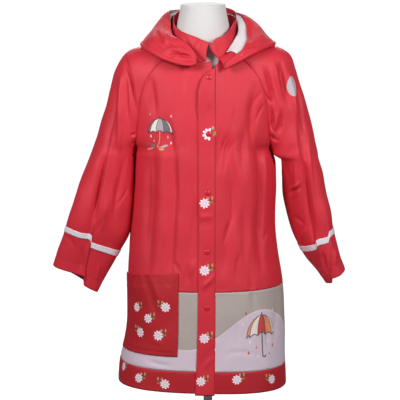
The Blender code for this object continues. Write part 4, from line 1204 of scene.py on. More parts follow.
def stitch_row(name, places):
    """Points and faces of a row of stitches along a path of rows and columns."""
    grid, outward = FINISHED[name]
    path = sampled(grid, places)
    normals = unit(sampled(outward_normals(grid, outward), places))
    run = run_lengths(path[None], 1)[0]
    points, faces = [], []
    for k in range(int(run[-1] / STITCH_SPACING)):
        middle = (k + 0.5) * STITCH_SPACING
        stops = (middle - 0.5 * STITCH_LENGTH, middle, middle + 0.5 * STITCH_LENGTH)
        stops = np.clip(stops, 0.0, run[-1])
        spine = np.stack([np.interp(stops, run, path[:, a]) for a in range(3)], axis=1)
        out = unit(np.array([np.interp(middle, run, normals[:, a]) for a in range(3)]))
        side = np.cross(out, unit(spine[2] - spine[0]))
        spine = spine + out * (np.array((-0.6, 1.0, -0.6)) * STITCH_LIFT)[:, None]
        start = len(points) * 4
        for centre, size in zip(spine, (0.55, 1.0, 0.55)):
            ways = (side, out, -side, -out)
            points.append([centre + size * STITCH_RADIUS * way for way in ways])
        for low in (start, start + 4):
            for b in range(4):
                c = (b + 1) % 4
                faces.append((low + b, low + 4 + b, low + 4 + c, low + c))
        faces.append((start, start + 1, start + 2, start + 3))
        faces.append((start + 11, start + 10, start + 9, start + 8))
    return np.array(points).reshape(-1, 3), faces


def stitched(piece_name, rows, thread):
    """One mesh of several stitch rows, each a cloth's name and its path."""
    sewn = Printing()
    for name, places in rows:
        sewn.add(*stitch_row(name, places), thread)
    sewn.finish(piece_name)


def inset_row(name, distance, from_top):
    """A path across the whole cloth, so far from its lower or upper edge."""
    up = run_lengths(FINISHED[name][0], 0)
    wanted = up[-1] - distance if from_top else np.full(up.shape[1], distance)
    rows = [np.interp(at, line, np.arange(len(up))) for at, line in zip(wanted, up.T)]
    return np.stack((rows, np.arange(up.shape[1])), axis=1)


def inset_column(name, distance, from_end):
    """A path up the whole cloth, so far from its first or last column."""
    along = run_lengths(FINISHED[name][0], 1)
    wanted = along[:, -1] - distance if from_end else np.full(len(along), distance)
    columns = [np.interp(at, line, np.arange(along.shape[1])) for at, line in zip(wanted, along)]
    return np.stack((np.arange(len(along)), columns), axis=1)

# --- the body pieces
SLOTS = {
    "pocket": "coated_cloth_dark", "hood_lining": "lining_white",
    "hem_right": "coated_cloth_dark", "hem_left": "coated_cloth_dark",
    "hem_back": "coated_cloth_dark", "border_right": "border_print",
    "border_left": "border_print", "border_back": "border_print",
    "reflective_band_right": "reflective_tape", "reflective_band_left": "reflective_tape",
}
BACK_WORK = BACK_CREASES + small_creases(11, (-120, 250, 120, 840), 60, 40, 6.0, 0.9)
SLEEVE_BACK_WORK = (
    SLEEVE_BACK_CREASES
    + small_creases(13, (-250, 430, -120, 800), 26, 30, 4.5, 0.8)
    + small_creases(17, (120, 440, 240, 800), 26, 30, 4.5, 0.8)
)
# The border's wavy line: its middle level, and its rise, length and place along the hem.
WAVE_HEIGHT = 0.345
WAVE_RISE = 0.034
WAVE_LENGTH = 0.30
WAVE_SHIFT = 0.040


def hung(base):
    """The body with its hem a little higher on the wearer's right than on the left."""
    tilt = 0.0005 - 0.0035 * base[..., 0] / 0.150
    moved = base.copy()
    moved[..., 2] += tilt * (1.0 - eased((base[..., 2] - HEM_HEIGHT) / 0.22))
    return moved


def even_stations(spacing):
    """Body rows from hem to neck, with a row on each band's seam."""
    parts = [np.array([HEM_HEIGHT])]
    seams = (HEM_HEIGHT, HEM_BAND_TOP, BORDER_TOP, PANEL_TOP)
    for low, high in zip(seams[:-1], seams[1:]):
        parts.append(np.linspace(low, high, max(2, round((high - low) / spacing)) + 1)[1:])
    return np.concatenate(parts)


def corner_lift(base, stations):
    """How far the unbuttoned top corner of the left front stands off the right one."""
    rise = eased((stations - 0.715) / 0.085)[:, None]
    return CORNER_STAND * rise * (1.0 - eased((base[..., 0] - 0.016) / 0.022))


def topped(stations, edge):
    """Rows by columns of stations, drawn down in their upper part to the top edge that a
    column of each place across has."""
    tops = np.interp(edge, column(TOP_EDGE, "across"), column(TOP_EDGE, "station"))
    share = np.clip((stations - SAG_START) / (PANEL_TOP - SAG_START), 0.0, 1.0)[:, None]
    return np.minimum(stations[:, None], SAG_START) + share * (tops[None] - SAG_START)


def along_hem(base):
    """The flat cut of a body piece: lengths round the border, and heights."""
    row = np.argmin(np.abs(base[:, base.shape[1] // 2, 2] - WAVE_HEIGHT))
    along = run_lengths(base[row][None], 1)[0]
    return np.stack((np.broadcast_to(along, base.shape[:2]), base[..., 2]), axis=-1)


def body_grids(spacing):
    """Stations, base grids and flat cuts of both fronts and the back, and the girth."""
    stations = even_stations(spacing)
    across = round(0.205 / spacing)
    left_table = front_table(FRONT_MEETING + 0.0005, None, across)
    left_stations = topped(stations, left_table[-3, :, 0])
    grids = [
        hung(smooth_rows(STATIONS, table, wanted))
        for table, wanted in (
            (front_table(None, FRONT_MEETING, across), stations),
            (left_table, left_stations), (back_table(2 * across), stations),
        )
    ]
    cuts = [along_hem(grid) for grid in grids]
    row = np.argmin(np.abs(stations - WAVE_HEIGHT))
    cuts[0][..., 0] -= np.interp(0.0, grids[0][row, :, 0], cuts[0][row, :, 0])
    cuts[1][..., 0] += grids[1][row, 0, 0]
    cuts[2][..., 0] += cuts[1][row, -1, 0]
    return stations, grids, cuts, cuts[2][row, -1, 0] - cuts[0][row, 0, 0]


def build_body(sizes):
    """Both fronts and the back, cut into their main panels, border and hem bands."""
    stations, grids, cuts, girth = body_grids(sizes.grid_step)
    MATERIALS.wave_length = girth / round(girth / WAVE_LENGTH)
    hem, border = (int(np.argmin(np.abs(stations - h))) for h in (HEM_BAND_TOP, BORDER_TOP))
    bands = (
        ("hem_", slice(0, hem + 1)), ("border_", slice(hem, border + 1)),
        ("", slice(border, None)),
    )
    for word, base, cut in zip(("right", "left", "back"), grids, cuts):
        seams = seam_distances(base, (hem, border, -1), sides=False)
        along = run_lengths(base, 1)
        if word != "left":
            seams = np.minimum(seams, along)
        if word != "right":
            seams = np.minimum(seams, along[:, -1:] - along)
        creases = {"back": BACK_WORK} if word == "back" else {"front": BODY_CREASES}
        grid = worked(base, 1, seams=seams, **creases)
        if word == "left":
            grid = moved_out(grid, corner_lift(base, stations), base=base)
        for prefix, rows in bands:
            name = prefix + word if prefix or word == "back" else "front_" + word
            cloth_piece(
                name, grid[rows], base[rows], sizes.cloth, cut=cut[rows],
            )


def laid_creases(base, creases, deepest):
    """How far a cloth that lies on another one rises at its own creases, or sinks."""
    depth = 0.001 * LAID_DEEP * crease_depths(seen_from_front(base), creases)
    return np.maximum(-depth, -deepest)


def build_placket(sizes):
    """The snap placket, laid on both fronts over their whole height."""
    # Below the border the strip is wider and leans to the wearer's right.
    low = np.clip((BORDER_TOP - STATIONS) / (BORDER_TOP - HEM_HEIGHT), 0.0, 1.0) ** 2
    first, last = (edge - flare * low for edge, flare in zip(PLACKET_EDGES, PLACKET_FLARE))
    rows = []
    for index in range(len(STATIONS)):
        across = np.linspace(first[index], last[index], PLACKET_COLUMNS)
        sides = [turn_at(LEVELS[side, False][index], across) for side in (-1, 1)]
        rows.append(body_line(index, False, np.where(across < 0.0, sides[0], sides[1])))
    stations = np.concatenate(((PLACKET_BOTTOM,), even_stations(sizes.grid_step)))
    wanted = topped(stations, np.linspace(*PLACKET_EDGES, PLACKET_COLUMNS))
    base = hung(smooth_rows(STATIONS, np.array(rows), wanted))
    grid = worked(base, 1, front=BODY_CREASES)
    creases = laid_creases(base, PLACKET_CREASES, 0.0005)
    lift = LAY_GAP + sizes.cloth + PLACKET_STAND + creases
    lift = lift + corner_lift(base, stations)
    along = run_lengths(base, 1)
    lift = lift - 0.0016 * (1.0 - eased((along[:, -1:] - along) / 0.006))
    flat = seen_from_front(grid)
    for place in SNAP_PLACES:
        away = np.linalg.norm(flat - place, axis=-1)
        lift = lift - SNAP_DIMPLE * smooth_bump(away / SNAP_REACH)
    cloth_piece(
        "placket", moved_out(grid, lift, base=base), base, sizes.cloth,
    )


def build_pocket(sizes):
    """The patch pocket on the wearer's right front, its mouth a little slack."""
    columns, count = (round(size / POCKET_STEP) for size in POCKET_SIZE)
    shares = np.linspace(*POCKET_SIDES, columns)
    rows = []
    for index in range(len(STATIONS)):
        level = LEVELS[-1, False][index]
        start = float(turn_at(level, -PLACKET_EDGES[0]))
        rows.append(body_line(index, False, -(start + (seam_turn(level) - start) * shares)))
    across = shares_of(columns)
    low, high = (foot + rise * across for foot, rise in (POCKET_FOOT, POCKET_MOUTH))
    up = shares_of(count)[:, None]
    base = hung(smooth_rows(STATIONS, np.array(rows), low + (high - low) * up))
    grid = worked(base, 1, front=BODY_CREASES)
    edges = seam_distances(base, (0,))
    lift = (
        LAY_GAP + sizes.cloth + POCKET_STAND
        + laid_creases(base, POCKET_CREASES, 0.0012) * eased(edges / 0.008)
        + sizes.pocket_puff * eased(edges / 0.014)
        + POCKET_SLACK * (arch(across) * eased((up - 0.55) / 0.45))
        - furrow(edges - 0.0065, 0.0004, 0.0011)
    )
    run = run_lengths(base, 0)
    lift = lift - furrow(run[-1] - run - POCKET_HEM, 0.0004, 0.0012)
    cloth_piece(
        "pocket", moved_out(grid, lift, base=base), base, sizes.cloth,
    )


# --- sleeves and bands
# Each sleeve's side, rings, pleats and creases in front.
SLEEVE_WORK = {
    "right": (-1, SLEEVE_RIGHT, PLEATS_RIGHT, SLEEVE_RIGHT_CREASES),
    "left": (1, SLEEVE_LEFT, PLEATS_LEFT, SLEEVE_LEFT_CREASES),
}


def worked_sleeve(word, stations, table, wanted):
    """Base and finished grids of part of a sleeve."""
    side, _, pleats, creases = SLEEVE_WORK[word]
    base = smooth_rows(stations, table, wanted)
    seams = seam_distances(base)
    if wanted[-1] > 0.80:
        up = run_lengths(base, 0)
        seams = np.minimum(seams, up[-1:] - up)
    grid = worked(
        base, side, creases, SLEEVE_BACK_WORK, seams, pleats, uneven=0.0010, deep=SLEEVE_DEEP
    )
    return base, grid


def build_sleeves(sizes):
    """Both raglan sleeves, from cuff to neck."""
    step = 0.85 * sizes.grid_step
    columns = round(ARM_GIRTH / step)
    for word, (side, rings, _, _) in SLEEVE_WORK.items():
        stations, table = sleeve_table(rings, side, columns)
        trial = np.linspace(stations[0], stations[-1], 400)
        crest = smooth_rows(stations, table[:, columns // 2][:, None], trial)
        run = run_lengths(crest, 0)[:, 0]
        wanted = np.interp(np.linspace(0.0, run[-1], round(run[-1] / step)), run, trial)
        base, grid = worked_sleeve(word, stations, table, wanted)
        hem = -furrow(run_lengths(base, 0) - CUFF_HEM, 0.0005, 0.0013)
        cloth_piece(
            f"sleeve_{word}", moved_out(grid, hem, side, base), base, sizes.cloth,
            outward=side,
        )


def build_bands(sizes):
    """The reflective band sewn round each sleeve."""
    columns = round(ARM_GIRTH / sizes.grid_step)
    reach = 0.5 * REFLECTIVE_WIDTH
    for word, (side, rings, _, _) in SLEEVE_WORK.items():
        middle = BAND_HEIGHTS[word]
        wanted = np.linspace(middle - reach, middle + reach, 7)
        base, grid = worked_sleeve(word, *sleeve_table(rings, side, columns), wanted)
        cloth_piece(
            f"reflective_band_{word}", moved_out(grid, BAND_LIFT, side), base, BAND_CLOTH,
            outward=side,
        )


# --- collar and hood
def build_collar():
    """The stand collar, whose two ends part at the front."""
    base = collar_grid(COLLAR_COLUMNS, COLLAR_ROWS)
    round_up = arch(shares_of(COLLAR_ROWS)[:, None])
    grid = worked(base, 1, front=COLLAR_CREASES, uneven=0.0008)
    puff = 0.0012 * round_up + 0.0002 * np.sin(np.linspace(0, 40, COLLAR_COLUMNS)) * round_up
    cloth_piece(
        "collar", moved_out(grid, puff, base=base), base, COLLAR_CLOTH,
    )


# The slack lining fills the gap between collar and rim: how high it stands beside the
# collar, at turns from the middle back, and how much of the gap it fills.
LINING_TURNS = (-150.0, -142.0, -129.0, -113.0, -90.0, -60.0, -30.0, 30.0, 60.0, 84.0, 100.0)
LINING_TOPS = (0.832, 0.835, 0.843, 0.857, 0.871, 0.889, 0.893, 0.893, 0.890, 0.884, 0.860)
LINING_FILL = (0.0, 0.0, 1.0, 1.0, 1.0, 1.0, 1.0, 1.0, 1.0, 0.7, 0.0)
LINING_END_TURNS = (-146.0, -130.0)
LINING_END_SUNK = 0.0022  # its front end lies deeper under the hood
LID_GAP = 0.0030          # between the raised layer and the hood over it
FILL_REACH = 0.45         # how far under the hood it stays raised, as a share
HOOD_COLUMNS = 263
LINING_COLUMNS = slice(14, 230)
LOWER_ROWS = 16           # rows of the hood's grid between the neck seam and the fold
UPPER_ROWS = 38


def filled_lining(grid, turns, inset):
    """The hood's grid moved inward, its lower layer raised to fill the gap at the rim."""
    inner = moved_out(grid, -inset)
    tops = np.interp(turns, LINING_TURNS, LINING_TOPS)
    fill = np.interp(turns, LINING_TURNS, LINING_FILL)
    sunk = np.interp(turns, LINING_END_TURNS, (1.0, 0.0))
    inner[LOWER_ROWS:, :, 2] -= LINING_END_SUNK * sunk
    upper = slice(LOWER_ROWS + 5, None)
    for index in range(grid.shape[1]):
        out = np.linalg.norm(grid[:, index, :2] - grid[0, index, :2], axis=1)
        under, rim, reach = out[:LOWER_ROWS], out[-1], out[LOWER_ROWS]
        lid = np.interp(under, out[upper][::-1], grid[upper, index, 2][::-1])
        lid = lid - inset - LID_GAP
        near = tops[index] + (lid[0] - tops[index]) * np.clip(under / rim, 0.0, 1.0)
        wanted = np.where(under < rim, near, lid)
        fade = eased((under - rim) / (FILL_REACH * (reach - rim)))
        low = inner[:LOWER_ROWS, index, 2]
        raised = np.maximum(wanted - low, 0.0) * (fill[index] * (1.0 - fade))
        inner[:LOWER_ROWS, index, 2] = low + raised
    return inner


def build_hood(sizes):
    """The hood, hanging folded behind the neck, and the lining inside it."""
    base = hood_grid(HOOD_COLUMNS, LOWER_ROWS, UPPER_ROWS)
    back = HOOD_BACK_CREASES + small_creases(37, (-90, 740, 90, 900), 22, 26, 5.0, 0.9)
    seams = seam_distances(base, (0,), sides=False)
    grid = worked(base, 1, HOOD_CREASES, back, seams, uneven=0.0010, deep=HOOD_DEEP)
    cloth_piece(
        "hood", grid, base, sizes.cloth
    )
    turns = np.linspace(HOOD[0].turn, HOOD[-1].turn, HOOD_COLUMNS)
    inner = filled_lining(grid, turns, sizes.cloth + 0.0008)[:, LINING_COLUMNS]
    cloth_piece(
        "hood_lining", inner, base[:, LINING_COLUMNS], sizes.lining
    )


# --- snaps
SNAP_PLACES = ((7.2, 366.6), (7.2, 467.4), (8.1, 573.6), (9.9, 679.8), (10.8, 782.4))
CAP_HEIGHT = 0.0016
SNAP_DIMPLE = 0.0003      # how deep a snap presses the placket in, and how far round it
SNAP_REACH = 11.0
# The cap's outline: radius and height as shares of its radius and thickness.
CAP_PROFILE = (
    (1.00, 0.00), (1.00, 0.22), (0.97, 0.42), (0.90, 0.55), (0.82, 0.60), (0.78, 0.56),
    (0.74, 0.56), (0.66, 0.72), (0.50, 0.88), (0.28, 0.97), (0.0, 1.0),
)


def turned_mesh(name, rings, material, sharp):
    """A closed solid of level rings of points, or single points, from its foot to its top."""
    shape = bmesh.new()
    rings = [[shape.verts.new(point) for point in ring] for ring in rings]
    segments = max(len(ring) for ring in rings)
    for low, high in zip(rings[:-1], rings[1:]):
        for k in range(segments):
            after = (k + 1) % segments
            corners = [low[k % len(low)], low[after % len(low)],
                       high[after % len(high)], high[k % len(high)]]
            unique = list(dict.fromkeys(corners))
            if len(unique) > 2:
                shape.faces.new(unique)
    for ring in (rings[0][::-1], rings[-1]):
        if len(ring) > 1:
            shape.faces.new(ring)
    mesh = bpy.data.meshes.new(name)
    shape.to_mesh(mesh)
    shape.free()
    mesh.shade_smooth()
    mesh.set_sharp_from_angle(angle=math.radians(sharp))
    mesh.materials.append(material)
    return mesh


def lathe_mesh(name, profile, segments, material):
    """A closed solid turned about the upright axis; the profile runs from foot to top."""
    angles = round_angles(segments)
    rings = []
    for radius, height in profile:
        places = angles if radius > 0.0 else angles[:1]
        rings.append([(radius * math.cos(a), radius * math.sin(a), height) for a in places])
    return turned_mesh(name, rings, material, 40)


def build_snaps(sizes):
    """Domed snap caps with a rolled rim, pressed into the placket."""
    grid, outward = FINISHED["placket"]
    normals = outward_normals(grid, outward)
    profile = [(r * sizes.snap_radius, h * CAP_HEIGHT) for r, h in CAP_PROFILE]
    for number, place in enumerate(SNAP_PLACES, start=1):
        spot = spot_seen("placket", *place)
        seat, way = sampled(grid, spot[None])[0], unit(sampled(normals, spot[None]))[0]
        mesh = lathe_mesh(f"snap_{number}_cap", profile, 40, MATERIALS["snap_plastic"])
        facing = Vector(way).to_track_quat("Z", "Y")
        centre = Vector(seat + way * 0.0001) + Vector(HANG)
        mesh.transform(Matrix.LocRotScale(centre, facing, None))
        new_object(mesh.name, mesh, f"snap_{number}")


# --- form and stand
def build_form():
    """The limbless form, with a flat underside and a flat neck with an eased edge."""
    sizes = np.array([(ring.half, ring.depth) for ring in FORM])[:, None, :]
    heights = np.concatenate((np.linspace(0.420, 0.800, 60), np.linspace(0.804, 0.914, 60)))
    rings = smooth_rows(column(FORM, "height"), sizes, heights)[:, 0]
    angles = round_angles(120)
    profile = [(half, depth, height) for (half, depth), height in zip(rings, heights)]
    half, depth, top = profile.pop()
    for inward, down in ((0.0, 0.0016), (0.0005, 0.0005), (0.0018, 0.0)):
        profile.append((half - inward, depth - inward, top - down))
    profile += [(half * s, depth * s, top) for s in (0.8, 0.5, 0.2)]
    rings = [
        [(half * math.sin(a) + COAT_SHIFT, -depth * math.cos(a), height) for a in angles]
        for half, depth, height in profile
    ]
    mesh = turned_mesh("dress_form_body", rings, MATERIALS["form_cover"], 50)
    new_object(mesh.name, mesh, "dress_form")


# The base's upper edge: how far inward and down. The rod's and tube's radius and height.
BASE_EDGE = ((0.0, 0.004), (0.0012, 0.0016), (0.004, 0.0006))
ROD_PROFILE = ((0.0070, 0.0123), (0.0080, 0.0133), (0.0080, 0.1987), (0.0070, 0.1997))
TUBE_PROFILE = (
    (0.0090, 0.2000), (0.0105, 0.2004), (0.0110, 0.2014), (0.0110, 0.2065), (0.0106, 0.2072),
    (0.0106, 0.4130), (0.0110, 0.4138), (0.0110, 0.4190), (0.0102, 0.4197),
)


def build_stand():
    """The stand: a heavy base, its rod and the black tube under the form."""
    low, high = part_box("stand_base")
    reach, thick = 0.5 * (high[0] - low[0]), high[2]
    base = [(reach - inward, thick - down) for inward, down in BASE_EDGE]
    base = [(reach - 0.002, 0.0), (reach - 0.0005, 0.0006), (reach, 0.002)] + base
    base += [(reach * 0.6, thick - 0.0004)]
    base += [(0.026, thick - 0.0004), (0.024, thick - 0.0001), (0.0, thick)]
    for name, profile, slot in (
        ("stand_base", base, "stand_steel"), ("stand_rod", ROD_PROFILE, "stand_steel"),
        ("stand_tube", TUBE_PROFILE, "stand_black"),
    ):
        mesh = lathe_mesh(f"{name}_body", profile, 96, MATERIALS[slot])
        new_object(mesh.name, mesh, name)


# --- stitches of the coat
def build_stitches():
    """Rows of stitches along the seams, hems and edges."""
    rows = []

    def across(names, insets, edges=(False,)):
        for name in names:
            for inset in insets:
                rows.extend((name, inset_row(name, inset, edge)) for edge in edges)

    def upward(name, inset, first=0):
        for from_end in (False, True):
            rows.append((name, inset_column(name, inset, from_end)[first:]))

    across(("front_right", "front_left", "back"), (0.0022,))
    across(("border_right", "border_left", "border_back"), (0.0022,))
    across(("hem_right", "hem_left", "hem_back"), (0.0045, 0.0060))
    for name in ("sleeve_right", "sleeve_left"):
        across((name,), (CUFF_HEM,))
        open_rows = int(np.argmax(~closed_rows(FINISHED[name][0])))
        upward(name, 0.0022, open_rows + 2)
    upward("placket", 0.0022)
    across(("placket",), (0.0030,), (True, False))
    for inset in (0.0016, 0.0065):
        upward("pocket", inset)
        across(("pocket",), (inset,))
    across(("pocket",), (POCKET_HEM,), (True,))
    across(("collar",), (0.0030,), (True, False))
    across(("hood",), (0.0120,), (True,))
    stitched("seam_stitches", rows, "thread_red")
    rows.clear()
    across(("reflective_band_right", "reflective_band_left"), (0.0012,), (False, True))
    stitched("band_stitches", rows, "thread_pale")


# --- finishes
ORIGIN = (0.0, 0.0, 0.0)
WHITE = (1.0, 1.0, 1.0, 1.0)
COAT_ROUGHNESS = 0.35
SPECULAR = 0.4


def tint(*screen):
    """The scene colour of a screen colour given from 0 to 255."""
    shares = [value / 255.0 for value in screen]
    return tuple(
        share / 12.92 if share <= 0.04045 else ((share + 0.055) / 1.055) ** 2.4
        for share in shares
    )


def add_node(tree, kind, inputs=(), **settings):
    """A node with its settings and its inputs, each a value or another node's output."""
    node = tree.nodes.new(kind)
    for name, value in settings.items():
        setattr(node, name, value)
    for name, value in dict(inputs).items():
        if isinstance(value, bpy.types.NodeSocket):
            tree.links.new(value, node.inputs[name])
        else:
            node.inputs[name].default_value = value
    return node


def calculate(tree, operation, *values):
    """A Math node's output."""
    return add_node(tree, "ShaderNodeMath", enumerate(values), operation=operation).outputs[0]


def noise(tree, place, scale, **inputs):
    """A noise texture's value."""
    inputs.update(Vector=place, Scale=scale)
    return add_node(tree, "ShaderNodeTexNoise", inputs).outputs["Fac"]


def new_group(name, inputs, outputs):
    """An empty shader group; returns it with its input node's sockets and its output node.
    An input's default says its kind. Outputs are named, and Color is the only colour."""
    group = bpy.data.node_groups.new(name, "ShaderNodeTree")
    for label, default in inputs.items():
        kind = {1: "Float", 3: "Vector", 4: "Color"}[np.size(default)]
        socket = group.interface.new_socket(
            label, in_out="INPUT", socket_type=f"NodeSocket{kind}"
        )
        socket.default_value = default
    for label in outputs:
        kind = "NodeSocketColor" if label == "Color" else "NodeSocketFloat"
        group.interface.new_socket(label, in_out="OUTPUT", socket_type=kind)
    given = group.nodes.new("NodeGroupInput").outputs
    return group, given, group.nodes.new("NodeGroupOutput").inputs


def group_tone():
    """Slow and fine changes of a colour and of its roughness."""
    group, given, out = new_group(
        "Soft Tone",
        {"Place": ORIGIN, "Color": (0.5, 0.5, 0.5, 1.0), "Spread": 0.05, "Size": 14.0,
         "Roughness": 0.5},
        ("Color", "Roughness"),
    )
    work = partial(calculate, group)
    slow = noise(group, given["Place"], given["Size"], Detail=3.0)
    finer = work("MULTIPLY", given["Size"], 17.0)
    fine = noise(group, given["Place"], finer, Detail=4.0)
    both = work("ADD", slow, work("MULTIPLY", fine, 0.6))
    change = work("MULTIPLY", work("SUBTRACT", both, 0.8), 2.0)
    spread = work("MULTIPLY", change, given["Spread"])
    factor = work("ADD", spread, 1.0)
    inputs = {0: given["Color"], "Scale": factor}
    toned = add_node(group, "ShaderNodeVectorMath", inputs, operation="SCALE")
    group.links.new(toned.outputs[0], out["Color"])
    rough = work("MULTIPLY", work("MULTIPLY", change, 0.12), -1.0)
    rough = work("ADD", rough, 1.0)
    rough = work("MULTIPLY", rough, given["Roughness"])
    group.links.new(rough, out["Roughness"])
    return group


def group_weave():
    """Plain weave and its slubs as a height from 0 to 1."""
    group, given, out = new_group(
        "Fine Weave", {"Place": ORIGIN, "Threads": 1400.0, "Slubs": 0.4}, ("Height",)
    )
    work = partial(calculate, group)
    place = add_node(group, "ShaderNodeSeparateXYZ", {0: given["Place"]})
    threads = work("MULTIPLY", given["Threads"], math.pi)
    waves = []
    for axis in (0, 1):
        turns = work("MULTIPLY", place.outputs[axis], threads)
        waves.append(work("ABSOLUTE", work("SINE", turns)))
    over = work("MAXIMUM", *waves)
    slub = noise(group, given["Place"], 420.0, Detail=5.0)
    slubs = work("MULTIPLY", slub, given["Slubs"])
    group.links.new(work("ADD", over, slubs), out["Height"])
    return group


def group_crinkle():
    """Shallow crinkles of a light coated cloth, as a height."""
    group, given, out = new_group("Light Crinkle", {"Place": ORIGIN, "Size": 60.0}, ("Height",))
    work = partial(calculate, group)
    inputs = {0: given["Place"], 1: (1.0, 0.45, 1.0)}
    longer = add_node(group, "ShaderNodeVectorMath", inputs, operation="MULTIPLY").outputs[0]
    broad = noise(group, longer, given["Size"], Detail=2.0, Distortion=0.6)
    ridge = work("ABSOLUTE", work("SUBTRACT", broad, 0.5))
    skin = work("MULTIPLY", noise(group, given["Place"], 900.0), 0.02)
    group.links.new(work("ADD", ridge, skin), out["Height"])
    return group


def group_boundary():
    """Which side of the border's wavy boundary a place of the cut is on, and its line."""
    group, given, out = new_group(
        "Wavy Boundary",
        {"Place": ORIGIN, "Height": WAVE_HEIGHT, "Rise": WAVE_RISE, "Length": WAVE_LENGTH,
         "Shift": WAVE_SHIFT, "Line": 0.001},
        ("Above", "Line"),
    )
    work = partial(calculate, group)
    place = add_node(group, "ShaderNodeSeparateXYZ", {0: given["Place"]})
    along = work("SUBTRACT", place.outputs[0], given["Shift"])
    turns = work("DIVIDE", along, given["Length"])
    wave = work("SINE", work("MULTIPLY", turns, 2.0 * math.pi))
    level = work("MULTIPLY", wave, given["Rise"])
    level = work("ADD", level, given["Height"])
    away = work("SUBTRACT", place.outputs[1], level)
    inputs = {"Value": away, "From Min": -0.0003, "From Max": 0.0003}
    above = add_node(group, "ShaderNodeMapRange", inputs)
    group.links.new(above.outputs[0], out["Above"])
    near = work("ABSOLUTE", away)
    group.links.new(work("LESS_THAN", near, given["Line"]), out["Line"])
    return group


GROUP_MAKERS = {
    "Soft Tone": group_tone, "Fine Weave": group_weave, "Light Crinkle": group_crinkle,
    "Wavy Boundary": group_boundary,
}


def placed_group(tree, name, **inputs):
    """The outputs of the shared group's node in a material, with its own values."""
    group = bpy.data.node_groups.get(name) or GROUP_MAKERS[name]()
    return add_node(tree, "ShaderNodeGroup", inputs, node_tree=group).outputs


# How a finish takes the light. Threads are per metre, crinkle and bump are metres deep,
# and a finish that is on the cut keeps to the flat shape of its piece.
Finish = namedtuple(
    "Finish", "roughness spread size threads bump crinkle on_cut metallic coat sheen",
    defaults=(0.0, False, 0.0, 0.0, 0.0),
)
FINISHES = {
    "coated_cloth": Finish(0.6, 0.035, 9.0, 1500, 0.00003, 0.0008, True),
    "coated_cloth_dark": Finish(0.6, 0.045, 11.0, 1500, 0.00003, 0.0008, True),
    "border_print": Finish(0.6, 0.05, 12.0, 1500, 0.00003, 0.0008, True),
    "reflective_tape": Finish(0.5, 0.05, 30.0, 1100, 0.00008, 0.0002, True),
    "lining_white": Finish(0.85, 0.03, 20.0, 900, 0.00012, 0.0006, True, sheen=0.2),
    "snap_plastic": Finish(0.3, 0.04, 120.0, 400, 0.00001, coat=0.15),
    "form_cover": Finish(0.82, 0.025, 14.0, 1200, 0.0001, 0.0002, sheen=0.15),
    "stand_black": Finish(0.38, 0.15, 40.0, 300, 0.00001),
    "stand_steel": Finish(0.3, 0.06, 50.0, 300, 0.00001, metallic=1.0),
    "thread": Finish(0.55, 0.08, 200.0, 2600, 0.00006, sheen=0.1),
    "ink": Finish(0.42, 0.05, 60.0, 1500, 0.00003, coat=0.05),
    "reflective_print": Finish(0.55, 0.04, 40.0, 1100, 0.00006),
    "floor": Finish(0.75, 0.01, 0.6, 200, 0.0001),
}
INKS = {
    "petal_white": (250, 226, 236), "petal_lilac": (222, 206, 224),
    "leaf_green": (142, 148, 88), "leaf_brown": (138, 66, 50), "leaf_tan": (192, 152, 112),
    "ink_grey": (120, 112, 116), "ink_pale_grey": (176, 168, 172),
    "ink_cream": (238, 228, 220), "ink_black": (46, 36, 40),
    "ink_apricot": (232, 150, 110), "ink_coral": (206, 78, 80), "ink_taupe_dark": (92, 78, 76),
}


COLOUR_OF = {
    "coated_cloth": "coat", "coated_cloth_dark": "trim", "border_print": "border_top",
    "reflective_tape": "tape", "reflective_print": "reflector", "lining_white": "lining",
    "snap_plastic": "snap", "form_cover": "form", "stand_black": "tube", "stand_steel": "steel",
    "thread_red": "thread", "thread_pale": "tape_thread", "floor": "floor",
}


def mixed_colours(tree, share, first, second):
    """The first colour at share 0 and the second at share 1."""
    inputs = {0: share, 6: first, 7: second}
    return add_node(tree, "ShaderNodeMix", inputs, data_type="RGBA").outputs[2]


